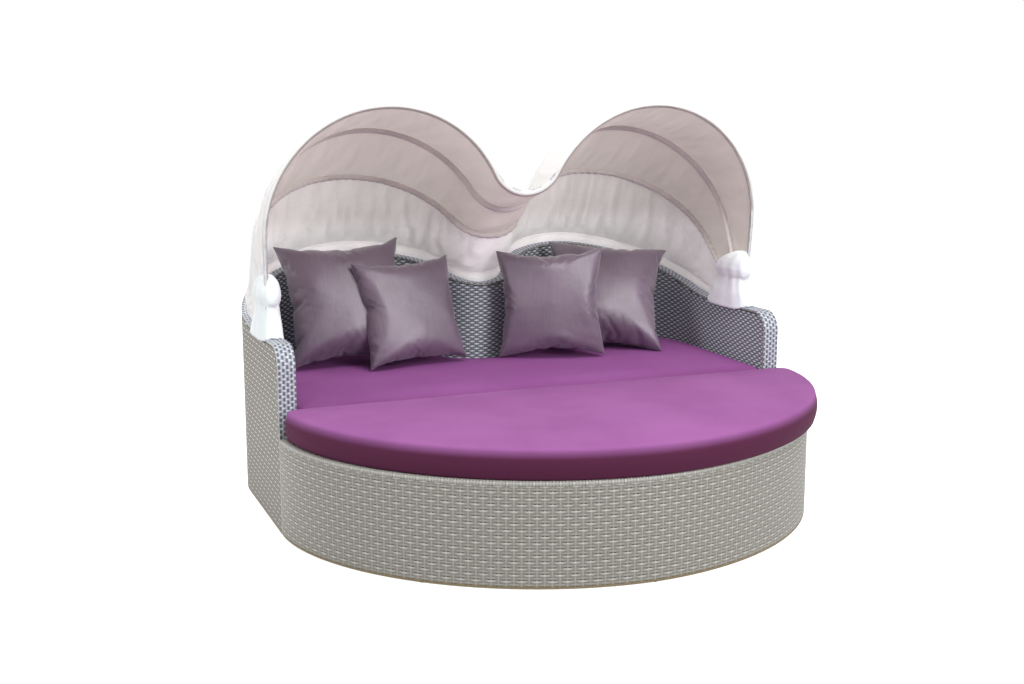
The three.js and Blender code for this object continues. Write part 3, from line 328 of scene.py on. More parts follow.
def weaveFinish(name, look):
    # strands over and under narrow warps, u along the piece and v up it, in metres
    finish = Finish(name, look["roughness"], Specular_IOR_Level=0.4)
    low, high, warpTone, gap, gapFar = (
        paint(*look[key]) for key in ("strandLow", "strandHigh", "warp", "gap", "gapFar"))
    shape, paired = weaveShape, look["paired"]
    u, v = finish.uv()
    a, b = u / look["warpPitch"], v / look["rowPitch"]
    if "brick" in look:  # the strands between two warps sit half a row above those beside them
        b = b + (a + 0.5).maths("FLOOR").maths("MODULO", 2.0).maths("ABSOLUTE") * look["brick"]
    column, row = a.maths("FLOOR"), b.maths("FLOOR")
    x, y = a - column - 0.5, b - row - 0.5
    over = ((a - 0.5 + row) * math.pi).maths("COSINE")  # 1 where the strands lie over the warp
    lift = -((b - 0.5 + column) * math.pi).maths("COSINE")
    fromWarp = x.maths("ABSOLUTE")
    edge = (y.maths("ABSOLUTE") - (shape["pair"] if paired else 0.0)).maths("ABSOLUTE") / look["strandHalf"]
    strand = 1 - edge * edge
    warp = 1 - (fromWarp / look["warpHalf"]) ** 2
    inStrand, inWarp = strand.between(0.0, 0.3), warp.between(0.0, 0.35)
    strandHeight = over * shape["wave"] + strand * shape["crown"] + shape["strandUp"]
    strandHeight = strandHeight * inStrand - shape["floor"]
    warpHeight = lift * look["warpLift"] + warp * shape["warpCrown"] + (shape["warpUp"] + look["warpUp"])
    warpHeight = warpHeight * inWarp - shape["floor"]
    shallow = fromWarp.between(look["holeEnd"], 0.5)  # strands close up half way between warps
    if paired:  # a pair opens only where it passes over a warp
        eye = y.maths("ABSOLUTE").between(0.2, 0.1) * over.between(-0.3, 0.4)
        shallow = shallow.maths("MAXIMUM", 1 - eye)
    height = strandHeight.maths("MAXIMUM", warpHeight)
    height = height.maths("MAXIMUM", shallow * shape["closed"] - shape["holeFloor"])
    onTop = (strandHeight - warpHeight).between(-0.08, 0.08)
    # each strand has its own tone, and fine grain along it
    tone = finish.cloud(finish.point(a * 0.13, row * 7.3 + y.maths("SIGN") * 2.1), 1.0, 1.0)
    grain = finish.cloud(finish.point(u * 60.0, v * 900.0), 1.0, 3.0, 0.7)
    # painted light: a strand is painted lighter where it lies over a warp and darker where it dives under one, and the
    # lower strand of a pair is painted lighter than the upper
    lit = 0.5 + over * 0.5
    if paired:  # the lower strand of a pair catches more light
        lit = lit * (look["upper"] + y.between(0.12, -0.12) * (1 - look["upper"]))
    strandColour = finish.shaded(finish.mixed(lit, low, high), 0.86 + tone * shape["tone"] + grain * shape["grain"])
    # painted light: a warp is painted a little lighter where it comes up over the strands
    warpColour = finish.shaded(warpTone, 0.82 + grain * shape["warpGrain"] + lift * 0.08)
    # painted shade: the holes between the strands are painted dark, darkest where they are deep beside a warp and
    # lighter where the strands close up
    colour = finish.mixed(inStrand.maths("MAXIMUM", inWarp), finish.mixed(shallow, gap, gapFar),
                          finish.mixed(onTop, warpColour, strandColour))
    if "foot" in look:  # a darker line where the skin meets the floor
        footTop = look["footTop"]
        colour = finish.mixed(v.between(footTop - 0.006, footTop + 0.003), paint(*look["foot"]), colour)
    finish.feed("Base Color", colour)
    finish.feed("Roughness", look["roughness"] + 0.12 - inStrand * 0.12)
    fine = finish.bump(grain, 0.0004, 0.4)
    finish.feed("Normal", finish.bump(height, look["relief"], below=fine))
    return finish.material


# in each look, gap and gapFar are the painted shade of deep and shallow holes, and strandLow and strandHigh are a
# strand's painted shaded and lit tones
outsideLook = {
    "paired": True, "warpPitch": 0.024, "rowPitch": 0.0206, "strandHalf": 0.18, "warpHalf": 0.13, "warpLift": 0.35,
    "warpUp": 0.0, "upper": 0.3, "holeEnd": 0.3, "strandLow": (142, 138, 130), "strandHigh": (197, 194, 186),
    "warp": (166, 163, 156), "gap": (74, 69, 63), "gapFar": (133, 129, 121),
    "relief": 0.0018, "roughness": 0.5, "foot": (128, 112, 78), "footTop": 0.012,
}
# the wall's outer face: darker strands and holes, and deeper shade on the upper strand of each pair than the skirt's
# weave, painted shade that stands in for the weave's relief
armLook = dict(
    outsideLook, warpPitch=0.0255, strandHalf=0.17, warpHalf=0.16, upper=0.2, relief=0.001,
    strandLow=(108, 103, 95), strandHigh=(203, 198, 189), warp=(130, 125, 117), gap=(56, 52, 46),
    gapFar=(96, 91, 84))
# the wall's inner face: a darker, bluer weave, partly its own colour and partly painted shade under the canopy, with
# floats painted near white as painted highlights
insideLook = {
    "paired": False, "warpPitch": 0.0186, "rowPitch": 0.0098, "strandHalf": 0.42, "warpHalf": 0.16, "warpLift": 0.35,
    "warpUp": 0.0, "holeEnd": 0.45, "strandLow": (84, 89, 98), "strandHigh": (228, 239, 243), "warp": (128, 134, 141),
    "gap": (24, 25, 28), "gapFar": (40, 41, 46), "relief": 0.0016, "roughness": 0.5,
}
bandLook = {
    "paired": False, "warpPitch": 0.0139, "rowPitch": 0.0205, "strandHalf": 0.21, "warpHalf": 0.25, "warpLift": 0.1,
    "brick": 0.5, "warpUp": 0.5, "holeEnd": 0.49, "strandLow": (176, 180, 189), "strandHigh": (220, 224, 233),
    "warp": (186, 191, 201), "gap": (104, 108, 118), "gapFar": (118, 122, 132), "relief": 0.0018, "roughness": 0.42,
}
rimLook = {
    "paired": True, "upper": 0.6, "warpPitch": 0.015, "rowPitch": 0.0206, "strandHalf": 0.21, "warpHalf": 0.25,
    "warpLift": 0.1, "warpUp": 0.0, "holeEnd": 0.4, "strandLow": (150, 148, 142), "strandHigh": (190, 187, 180),
    "warp": (176, 174, 168), "gap": (92, 88, 83), "gapFar": (128, 124, 118), "relief": 0.0018, "roughness": 0.42,
}
weaveOutside = weaveFinish("weaveOutside", outsideLook)
weaveArm = weaveFinish("weaveArm", armLook)
weaveInside = weaveFinish("weaveInside", insideLook)
bandWeave = weaveFinish("bandWeave", bandLook)
rimWeave = weaveFinish("rimWeave", rimLook)


def clothFinish(name, look):
    # plain woven cloth on object coordinates, with soft uneven tone
    finish = Finish(name, look["roughness"], Sheen_Weight=look["sheen"], Sheen_Roughness=0.5,
                    Specular_IOR_Level=look["gloss"])
    where = finish.place()
    broad = finish.cloud(where, look["broad"], 3.0, 0.55)
    fine = finish.cloud(where, 420.0, 2.0, 0.6)
    u, v = finish.uv()
    threads = ((u * look["threads"]).maths("SINE") * (v * look["threads"]).maths("SINE") + 1) * 0.5
    colour = finish.mixed(broad.between(0.3, 0.7), paint(*look["low"]), paint(*look["high"]))
    if "side" in look:  # another shade below a height: painted shade on a cushion's sides and rolled edges, and painted light low on the rear canopy cloth near the wall
        up = finish.add("ShaderNodeSeparateXYZ", {}, {0: where}).out("Z")
        colour = finish.mixed(up.between(look["sideLow"], look["sideHigh"]), paint(*look["side"]), colour)
    colour = finish.shaded(colour, 0.93 + fine * 0.1 + threads * 0.04)
    if "slub" in look:  # uneven threads that run up the cloth
        slub = finish.cloud(finish.point(u * 300.0, v * 8.0), 1.0, 3.0, 0.65)
        colour = finish.shaded(colour, 1.0 + (slub - 0.5) * look["slub"])
    crease = finish.cloud(where, look["creaseScale"], 3.0, 0.6)
    if "folds" in look:  # soft slanting folds and thin sharp creases between them, painted as bands of shade and dark crease lines in the colour, and raised in the bump
        slant = finish.cloud(finish.point((u - v * 0.7) * 9.0, v * 2.2), 1.0, 2.0, 0.5)
        bent = finish.cloud(finish.point((u + v * 0.9) * 4.5, v * 13.0), 1.0, 2.0, 0.55)
        line = (bent - 0.5).maths("ABSOLUTE").between(0.0, 0.03)
        colour = finish.shaded(colour, 1.0 + (slant - 0.5) * look["folds"] - (1 - line) * look["lines"])
        crease = crease + slant * 0.8 + line * 0.25
    finish.feed("Base Color", colour)
    finish.feed("Roughness", look["roughness"] - 0.05 + fine * 0.1)
    soft = finish.bump(crease, look["crease"], 0.35)
    finish.feed("Normal", finish.bump(threads + fine * 0.6, 0.00025, 0.35, soft))
    if "through" in look:  # some of the daylight comes through the cloth
        glow = finish.add("ShaderNodeBsdfTranslucent", {}, {"Color": paint(*look["throughColour"])})
        finish.show(look["through"], finish.own, glow)
    return finish.material


plainCloth = {"broad": 2.0, "threads": 4200.0, "roughness": 0.85, "sheen": 0.0, "gloss": 0.3}
plumCloth = dict(plainCloth, broad=3.0, threads=5200.0, creaseScale=9.0, crease=0.003)
liningCloth = dict(plainCloth, roughness=0.88, creaseScale=7.0, crease=0.005, through=0.55)
# the seat is painted a little darker than the half moon's cushion as painted shadow of the canopy, and darker towards
# its edges and down its sides as painted shade
seatPlum = clothFinish("seatPlum", dict(
    plumCloth, low=(142, 78, 142), high=(149, 85, 149), side=(108, 50, 98), sideLow=0.432, sideHigh=0.4595))
# the half moon's cushion is painted a deep wine down its sides, painted shade on its boxing
moonPlum = clothFinish("moonPlum", dict(
    plumCloth, low=(148, 86, 146), high=(158, 95, 156), side=(80, 26, 58), sideLow=0.415, sideHigh=0.452))
pillowMauve = clothFinish("pillowMauve", {
    "low": (102, 85, 101), "high": (118, 100, 118), "broad": 5.0, "threads": 4400.0,
    "roughness": 0.38, "sheen": 0.3, "gloss": 0.9, "slub": 0.6, "creaseScale": 22.0, "crease": 0.005,
})
canopyOutside = clothFinish("canopyOutside", dict(
    plainCloth, low=(248, 247, 245), high=(252, 252, 250), creaseScale=7.0, crease=0.004,
    through=0.3, throughColour=(252, 252, 252)))
# the canopy's inner cloth is darker and pinker than its outer side, partly its lining's own tone and partly painted
# shade under the canopy
canopyInside = clothFinish("canopyInside", dict(
    liningCloth, low=(208, 201, 195), high=(218, 212, 206), throughColour=(234, 227, 222), folds=0.55, lines=0.03))
# the rear panel and hem are painted near white below the wall's top, painted light where daylight shines through the
# lower cloth
rearInside = clothFinish("rearInside", dict(
    liningCloth, low=(200, 193, 190), high=(212, 206, 203), throughColour=(244, 240, 239), folds=0.6, lines=0.09,
    side=(252, 252, 252), sideLow=0.94, sideHigh=1.05))
sleeveCloth = clothFinish("sleeveCloth", dict(
    plainCloth, low=(212, 203, 199), high=(226, 218, 214), broad=6.0, creaseScale=40.0, crease=0.003))
bootCloth = clothFinish("bootCloth", dict(
    plainCloth, low=(245, 252, 253), high=(248, 253, 254), broad=6.0, roughness=0.8, sheen=0.5,
    creaseScale=30.0, crease=0.004))


def metalFinish(name, low, high, roughness, metallic=1.0):
    finish = Finish(name, roughness, Metallic=metallic)
    where = finish.place()
    worn = finish.cloud(where, 60.0, 4.0, 0.6)
    finish.feed("Base Color", finish.mixed(worn.between(0.35, 0.65), paint(*low), paint(*high)))
    finish.feed("Roughness", roughness - 0.08 + worn * 0.16)
    brushed = finish.cloud(where, 900.0, 2.0, 0.5)
    finish.feed("Normal", finish.bump(brushed, 0.0001, 0.3))
    return finish.material


frameCoat = metalFinish("frameCoat", (80, 82, 86), (96, 98, 102), 0.5, 0.0)
hoopAluminium = metalFinish("hoopAluminium", (172, 172, 174), (192, 192, 194), 0.36)
darkSteel = metalFinish("darkSteel", (48, 48, 50), (62, 62, 64), 0.42, 0.6)
brightSteel = metalFinish("brightSteel", (176, 178, 180), (198, 199, 201), 0.3)
blackRubber = metalFinish("blackRubber", (30, 30, 31), (42, 42, 43), 0.8, 0.0)
coats = {
    "screw": brightSteel, "bolt": brightSteel, "nut": brightSteel, "bracket": darkSteel,
    "glide": blackRubber, "spacer": blackRubber, "_hoop": hoopAluminium,
}

for nodeName, node in nodes.items():
    made = next((coat for word, coat in coats.items() if word in nodeName), frameCoat)
    for slot in node.material_slots:
        slot.material = made
    if not node.material_slots:
        node.data.materials.append(made)
print("finishes made")


# a line with a straight leg, a lobe and a dip, mirrored in the middle

def lobedLine(q, line):
    # points at q along it, with the way out of it and the distance from its nearer end
    q = np.asarray(q, dtype=float)
    leg, radius, dip = line["leg"], line["radius"], line["dipRadius"]
    (footX, footY), (topX, topY), (centreX, centreY) = line["foot"], line["top"], line["centre"]
    d = np.minimum(q, 2 * line["half"] - q)
    side = np.where(q <= line["half"], 1.0, -1.0)
    a = line["turnFrom"] + (d - leg) / radius
    lobeRun = radius * (line["turnTo"] - line["turnFrom"])
    c = line["turnTo"] - math.pi - (d - leg - lobeRun) / dip
    onLeg, onLobe = d <= leg, d <= leg + lobeRun
    slope = (topX - footX) / (topY - footY)
    size = math.hypot(1, slope)
    nx = np.where(onLeg, 1 / size, np.where(onLobe, np.cos(a), -np.cos(c)))
    ny = np.where(onLeg, -slope / size, np.where(onLobe, np.sin(a), -np.sin(c)))
    x = np.where(onLeg, footX + (topX - footX) * d / leg, np.where(onLobe, centreX + radius * nx, -dip * nx))
    y = np.where(onLeg, footY + (topY - footY) * d / leg,
                 np.where(onLobe, centreY + radius * ny, line["dipCentre"] - dip * ny))
    return side * x, y, side * nx, ny, d


# the wall: two arms, two lobes and a dip, as in the part

plan = {
    "shift": -0.0795,  # arm fronts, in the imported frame
    "halfWidth": 1.0, "thickness": 0.065, "lobeX": 0.53, "armLength": 0.58, "bulgeRadius": 0.139,
    "armHeight": 0.67, "backHeight": 0.866, "cornerRadius": 0.075, "skin": 0.006, "floorGap": 0.003,
    "band": 0.009, "slopeGap": 0.0012, "innerFoot": 0.333,
}
halfWall = plan["thickness"] / 2
armX = plan["halfWidth"] - halfWall
lobeRadius = armX - plan["lobeX"]
bulgeY = plan["armLength"] + math.sqrt((lobeRadius + plan["bulgeRadius"]) ** 2 - plan["lobeX"] ** 2)
lobeTurn = math.atan2(bulgeY - plan["armLength"], -plan["lobeX"])
lobeLength = lobeRadius * lobeTurn
halfPath = plan["armLength"] + lobeLength + plan["bulgeRadius"] * (lobeTurn - math.pi / 2)
wallCourse = {
    "foot": (armX, 0), "top": (armX, plan["armLength"]), "leg": plan["armLength"],
    "centre": (plan["lobeX"], plan["armLength"]), "radius": lobeRadius, "turnFrom": 0, "turnTo": lobeTurn,
    "dipRadius": plan["bulgeRadius"], "dipCentre": bulgeY, "half": halfPath,
}
riseShares = np.array([
    (0, 0), (0.23, 0), (0.3, 0.09), (0.36, 0.256), (0.436, 0.513), (0.508, 0.718),
    (0.583, 0.9), (0.653, 1), (0.732, 0.99), (0.846, 0.83), (0.9165, 0.62), (1, 0.436),
])


def curveThrough(table, at):
    # a smooth curve through a table of places and values
    xs, ys = table[:, 0], table[:, 1]
    slopes = np.zeros(len(xs))
    slopes[1:-1] = (ys[2:] - ys[:-2]) / (xs[2:] - xs[:-2])
    i = np.clip(np.searchsorted(xs, at) - 1, 0, len(xs) - 2)
    run = xs[i + 1] - xs[i]
    t = np.clip((at - xs[i]) / run, 0, 1)
    return ((2 * t**3 - 3 * t**2 + 1) * ys[i] + (t**3 - 2 * t**2 + t) * run * slopes[i]
            + (3 * t**2 - 2 * t**3) * ys[i + 1] + (t**3 - t**2) * run * slopes[i + 1])


def wallTop(s):
    rise = curveThrough(riseShares, np.asarray(s) / halfPath)
    return plan["armHeight"] + (plan["backHeight"] - plan["armHeight"]) * rise


def layerTop(s, depth):
    # a layer that lies `depth` below the wall's top, rounded at the arm's front
    radius, run = plan["cornerRadius"] - depth, plan["cornerRadius"] - s
    corner = plan["armHeight"] - plan["cornerRadius"] + np.sqrt(np.maximum(0, radius**2 - run**2))
    return np.where(run <= 0, wallTop(s) - depth, corner)


def wallLine(q):
    # the wall's centre line, q from the right arm's front round to the left one
    x, y, nx, ny, s = lobedLine(q, wallCourse)
    return x, y + plan["shift"], nx, ny, s


def wallPoint(q, out, z):
    x, y, nx, ny, _ = wallLine(q)
    return stacked(x + nx * out, y + ny * out, z)


def acrossWall(p):
    # how far a point lies outside the wall's centre line, and the way across the wall there
    side, x, y = math.copysign(1, p.x), abs(p.x), p.y - plan["shift"]
    aside, ahead = x - plan["lobeX"], y - plan["armLength"]
    if ahead <= 0:
        return x - armX, Vector((side, 0, 0))
    if math.atan2(ahead, aside) > lobeTurn:
        return plan["bulgeRadius"] - math.hypot(x, y - bulgeY), Vector((p.x, y - bulgeY, 0)).normalized()
    return math.hypot(aside, ahead) - lobeRadius, Vector((side * aside, ahead, 0)).normalized()


def wallSkin():
    # one woven skin: up the outer face, over the top and down the inner face
    skin, foot = plan["skin"], plan["floorGap"]
    outerRows, topRows, innerRows = 26, 4, 18
    count = outerRows + topRows + innerRows
    start = plan["band"] + plan["slopeGap"]
    course = np.linspace(0, 2 * halfPath, 1200)
    level = np.zeros(len(course))
    outLength = lengthAlong(wallPoint(course, halfWall, level))
    inLength = lengthAlong(wallPoint(course, -halfWall, level))

    def place(u, v):
        q = start + u * (2 * halfPath - 2 * start)
        top = layerTop(np.minimum(q, 2 * halfPath - q), start)
        row = v * count
        up, over, down = (np.clip((row - done) / rows, 0, 1) for done, rows in (
            (0, outerRows), (outerRows, topRows), (outerRows + topRows, innerRows)))
        turn = [0, 0.2, 0.8, 1]
        across = np.interp(over, turn, [halfWall, halfWall - skin, skin - halfWall, -halfWall])
        lift = np.interp(over, turn, [0, skin, skin, 0])
        z = np.where(row <= outerRows, foot + up * (top - skin - foot),
                     top - skin + lift - down * (top - skin - plan["innerFoot"]))
        inner = row > outerRows + topRows / 2
        along = np.where(inner, np.interp(q, course, inLength), np.interp(q, course, outLength))
        return wallPoint(q, across, z), stacked(along, z)

    piece = bentSheet("wallSkin", 300, count, place)
    outer = next(f for f in piece.data.polygons if f.center.x > 0.99 and f.center.z < 0.5)
    if outer.normal.x < 0:
        turnFaces(piece)
    # the inner faces take the darker inner weave, which is partly painted shade
    inside = [0 if acrossWall(f.center)[0] > 0 else 1 for f in piece.data.polygons]
    piece.data.polygons.foreach_set("material_index", inside)
    thicken(piece, skin, 40)
    finished(piece, "back_section", "wicker", "wall_weave", weaveArm, weaveInside)


wallSkin()
print("wall woven")

bandShape = {"ease": 0.004, "crown": 0.0012, "cornerSteps": 8, "frontSteps": 24, "armSteps": 24, "lobeSteps": 100}


def bandSection():
    # the band's profile: out from the wall's line, and up from its underside
    w, h, e, crown = halfWall, plan["band"], bandShape["ease"], bandShape["crown"]
    outline = [(w, 0.0), (w, h - e), (w - e * 0.3, h - e * 0.3), (w - e, h)]
    for t in np.arange(1, 6) / 6:
        outline.append((w - e - t * 2 * (w - e), h + crown * 4 * t * (1 - t)))
    outline += [(e - w, h), (e * 0.3 - w, h - e * 0.3), (-w, h - e), (-w, 0.0), (w, 0.0)]
    outline = np.array(outline)
    return outline - np.array([0, crown]) * (outline[:, 1:] > h - 1e-4)


def edgeBand():
    # up the arm's front, over its corner and along the whole top
    section = bandSection()
    corner, arm = plan["cornerRadius"], plan["armLength"]
    cornerZ, radius = plan["armHeight"] - corner, corner - plan["band"]
    rise = [((armX, plan["band"], z), (1, 0, 0), (0, -1, 0))
            for z in np.linspace(plan["floorGap"], cornerZ, bandShape["frontSteps"])]
    for a in np.linspace(0, math.pi / 2, bandShape["cornerSteps"] + 1)[1:]:
        rise.append(((armX, corner - radius * math.cos(a), cornerZ + radius * math.sin(a)),
                     (1, 0, 0), (0, -math.cos(a), math.sin(a))))
    run = np.concatenate([np.linspace(corner, arm, bandShape["armSteps"])[1:],
                          np.linspace(arm, halfPath, bandShape["lobeSteps"])[1:]])
    whole = []
    for q in np.concatenate([run, (2 * halfPath - run[:-1])[::-1]]):
        x, y, nx, ny, s = wallLine(q)
        whole.append(((x, y - plan["shift"], wallTop(s) - plan["band"]), (nx, ny, 0), (0, 0, 1)))
    fall = [((-x, y, z), (-1, 0, 0), up) for (x, y, z), _, up in rise][::-1]
    origin, across, up = (np.array(column, dtype=float) for column in zip(*(rise + whole + fall)))
    origin += np.array([0, plan["shift"], 0])
    along, around = lengthAlong(origin), lengthAlong(section)
    piece = sweep("edgeBand", origin, across, up, section, lambda i, k: (around[k], along[i]))
    seal(piece, ends=True)
    smooth(piece, 50)
    onSide = [abs(f.normal.z) < 0.3 and f.area > 0 and abs(f.normal.dot(acrossWall(f.center)[1])) > 0.8
              for f in piece.data.polygons]
    piece.data.polygons.foreach_set("material_index", np.array(onSide).astype(int))
    finished(piece, "back_section", "wicker_edge", "edge_band", bandWeave, rimWeave)


edgeBand()
print("edge band woven")


# woven skirt of the half moon, and its rim

moon = {
    "depth": 0.891, "exponent": 1.9, "height": 0.349, "band": 0.013, "rim": 0.03, "gap": 0.004, "skin": 0.006,
    "clearance": 0.0003, "ease": 0.004, "places": 241, "rows": 17,
}


def moonLine(t):
    # its outline, t from 0 at the right end to pi at the left, with the way out of it
    power = 2 / moon["exponent"]
    c, s = np.cos(t), np.sin(t)
    x = plan["halfWidth"] * np.sign(c) * np.abs(c) ** power
    y = -moon["depth"] * np.abs(s) ** power
    gx = np.sign(x) * np.abs(x / plan["halfWidth"]) ** (moon["exponent"] - 1) / plan["halfWidth"]
    gy = -(np.abs(y / moon["depth"]) ** (moon["exponent"] - 1)) / moon["depth"]
    size = np.hypot(gx, gy)
    return x, y + plan["shift"], gx / size, gy / size


def moonStart(depth, inset=0.0):
    low, high = 0.0, math.pi / 2
    for _ in range(40):
        middle = (low + high) / 2
        _, y, _, ny = moonLine(middle)
        if y - plan["shift"] - ny * inset > -depth:
            low = middle
        else:
            high = middle
    return low


def evenTurns(start, count):
    # turns that lie evenly along the outline
    t = np.linspace(start, math.pi - start, 4001)
    x, y, _, _ = moonLine(t)
    run = lengthAlong(stacked(x, y))
    return np.interp(np.linspace(0, run[-1], count), run, t), np.linspace(0, run[-1], count)


def moonPlaces():
    # origin, way out and way up of the places round its outline, with the distance run
    start = moonStart(moon["gap"] + moon["skin"] + moon["clearance"], moon["rim"])
    turns, run = evenTurns(start, moon["places"])
    x, y, nx, ny = moonLine(turns)
    return stacked(x, y, 0), stacked(nx, ny, 0), stacked(0 * x, 0, 1), run


def moonSkirt():
    origin, across, up, run = moonPlaces()
    top = moon["height"] - moon["band"] - moon["clearance"]
    section = np.array([(0.0, z) for z in np.linspace(plan["floorGap"], top - 0.003, moon["rows"])]
                       + [(-0.003, top), (-0.015, top), (-0.028, top)])
    piece = sweep("moonSkirt", origin, across, up, section, lambda i, k: (run[i] + 0.011, section[k, 1]))
    front = next(f for f in piece.data.polygons if abs(f.center.x) < 0.05 and f.center.z < 0.2)
    if front.normal.y > 0:
        turnFaces(piece)
    thicken(piece, moon["skin"], 40)
    finished(piece, "half_moon", "wicker", "moon_weave", weaveOutside)


def moonRim():
    origin, across, up, run = moonPlaces()
    low, high, e, rim = moon["height"] - moon["band"], moon["height"], moon["ease"], moon["rim"]
    section = np.array([(0, low), (0.0, high - e), (-e * 0.3, high - e * 0.3), (-e, high), (-rim / 2, high),
                        (e - rim, high), (-rim, high - e), (-rim, low), (0, low)])
    around = lengthAlong(section)
    piece = sweep("moonRim", origin, across, up, section, lambda i, k: (around[k], run[i]))
    seal(piece, ends=True)
    smooth(piece, 50)
    finished(piece, "half_moon", "wicker_edge", "moon_edge_band", rimWeave)


def crossPanel(name, stands, body, folded=False):
    # a woven panel across the part in its solid's box; a folded one turns its top back over the frame
    low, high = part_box(stands)
    section = [(low.y, z) for z in np.linspace(low.z, high.z, 13)]
    if folded:
        section[-1:] = [(low.y + 0.001, high.z - 0.001), (low.y + 0.004, high.z), (high.y, high.z)]
    x, section = np.linspace(low.x, high.x, 61), np.array(section)
    run = lengthAlong(section)
    piece = sweep(name, stacked(x, 0, 0), stacked(0 * x, 1, 0), stacked(0 * x, 0, 1), section,
                  lambda i, k: (x[i] + 1.0, low.z + run[k]))
    if piece.data.polygons[0].normal.y > 0:
        turnFaces(piece)
    addModifier(piece, "SOLIDIFY", thickness=plan["skin"] if folded else high.y - low.y, offset=-1)
    if not folded:
        addModifier(piece, "BEVEL", width=0.0012, segments=2, limit_method="ANGLE")
    applyAll(piece)
    smooth(piece, 40)
    finished(piece, body, "wicker", stands, weaveOutside)


moonSkirt()
moonRim()
crossPanel("moonBackPanel", "moon_back_weave", "half_moon")
print("half moon woven")
crossPanel("seatFrontPanel", "seat_front_weave", "back_section", folded=True)


# cushions

seatPad = {
    "bottom": 0.3453, "top": 0.461, "round": 0.022, "foot": 0.012, "crown": 0.010, "crownWidth": 0.14, "pull": 0.002,
    "corner": 0.036, "clearance": 0.003, "coreX": 0.6, "coreY": 0.3,
    "waves": ((0.0035, 0.42, 3.0), (0.0012, 0.13, 5.0)),  # height, size and seed of each
}
moonPad = {
    "bottom": 0.3493, "top": 0.470, "round": 0.017, "foot": 0.011, "crown": 0.016, "crownWidth": 0.2, "pull": -0.007,
    "corner": 0.045, "shift": 0.0235, "stretch": 1.009, "gap": 0.008, "coreX": 0.5, "coreY": -0.3,
    "waves": ((0.003, 0.4, 11.0), (0.0012, 0.12, 7.0)),
}


padSteps = {"under": 5, "side": 9, "crown": 15, "straight": 90, "wallSide": 402, "moonSide": 300, "corner": 8}


def padProfile(pad):
    # inset and height, from the middle of the underside up the side and over the crown
    e, foot, low, high = pad["round"], pad["foot"], pad["bottom"], pad["top"] - pad["crown"]
    rows = [(foot, low)]
    rows += [(foot - foot * math.sin(a), low + foot - foot * math.cos(a)) for a in np.linspace(0.3, math.pi / 2, 4)]
    for t in np.linspace(0, 1, padSteps["side"])[1:-1]:
        rows.append((pad["pull"] * 4 * t * (1 - t), low + foot + (high - low - foot - e) * t))
    rows += [(e - e * math.cos(a), high - e + e * math.sin(a)) for a in np.linspace(0, math.pi / 2 * 0.94, 7)]
    for t in np.linspace(0, 1, padSteps["side"])[1:]:
        inset = e + (pad["crownWidth"] - e) * t
        rows.append((inset, high + pad["crown"] * math.sin(t * math.pi / 2)))
    return rows


def makePad(name, pad, outlineAt, body, stands, cloth):
    # rings from the core line of its underside, up the side and over the crown to the core line again
    rows = padProfile(pad)
    base = outlineAt(rows[0][0])
    count = len(base)

    def towardsCore(points, t):
        x = np.clip(points[:, 0], -pad["coreX"], pad["coreX"])
        core = stacked(x, np.full(count, pad["coreY"] + plan["shift"]))
        return points + (core - points) * t

    crown = outlineAt(rows[-1][0])
    rings = ([(towardsCore(base, t), pad["bottom"]) for t in np.linspace(1, 0, padSteps["under"])[:-1]]
             + [(outlineAt(inset), z) for inset, z in rows]
             + [(towardsCore(crown, t), rows[-1][1]) for t in np.linspace(0, 1, padSteps["crown"])[1:]])
    lines, levels = np.array([line for line, _ in rings]), np.array([z for _, z in rings])

    def place(u, v):
        i, k = np.rint(u * count).astype(int) % count, rowOf(v, len(rings))
        points = np.concatenate([lines[k, i], levels[k][:, None]], axis=1)
        return points, points[:, :2] + points[:, 2:] * 0.7

    piece = bentSheet(name, count, len(rings) - 1, place)
    seal(piece, distance=2e-4)
    points = pointsOf(piece)
    top = smoothStep(pad["bottom"] + 0.03, pad["top"] - 0.012, points[:, 2])
    flat = points * np.array([1, 1, 0])
    points[:, 2] += top * sum(height * roll(flat, size, seed) for height, size, seed in pad["waves"])
    movePoints(piece, points)
    smooth(piece)
    finished(piece, body, "plum_cloth", stands, cloth)


def arc(cx, cy, radius, start):
    a = start + np.linspace(0, math.pi / 2, padSteps["corner"])
    return stacked(cx + radius * np.cos(a), cy + radius * np.sin(a))


def straight(start, end):
    # the points between two ends, without them
    return start + (end - start) * np.linspace(0, 1, padSteps["straight"])[1:-1, None]


def seatOutline(inset):
    offset = halfWall + seatPad["clearance"] + inset
    radius = max(seatPad["corner"] - inset, 0.002)
    start = 0.002 + inset + radius
    q = np.linspace(start, 2 * halfPath - start, padSteps["wallSide"])[1:-1]
    wall = wallPoint(q, -offset, np.zeros(len(q)))[:, :2]
    x = plan["halfWidth"] - plan["thickness"] - seatPad["clearance"] - inset - radius
    y = start + plan["shift"]
    left, right = arc(-x, y, radius, math.pi), arc(x, y, radius, math.pi * 1.5)
    return np.concatenate([wall, left, straight(left[-1], right[0]), right])


def moonOutline(inset):
    radius = max(moonPad["corner"] - inset, 0.002)
    turns, _ = evenTurns(moonStart(moonPad["gap"] + inset + radius, inset), padSteps["moonSide"])
    x, y, nx, ny = moonLine(turns)
    curve = stacked(x - nx * inset, y - ny * inset)
    cx, cy = curve[0, 0] - radius, -moonPad["gap"] - inset - radius + plan["shift"]
    right, left = arc(cx, cy, radius, 0)[1:], arc(-cx, cy, radius, math.pi / 2)[:-1]
    back = straight(right[-1], left[0])
    fade = np.sin(np.linspace(0, math.pi, len(back) + 2)[1:-1])
    back[:, 1] += 0.0045 * roll(back @ np.eye(2, 3), 0.16, 2.0) * fade
    whole = np.concatenate([curve[::-1], right, back, left]) * np.array([moonPad["stretch"], 1])
    return whole + np.array([moonPad["shift"], 0])


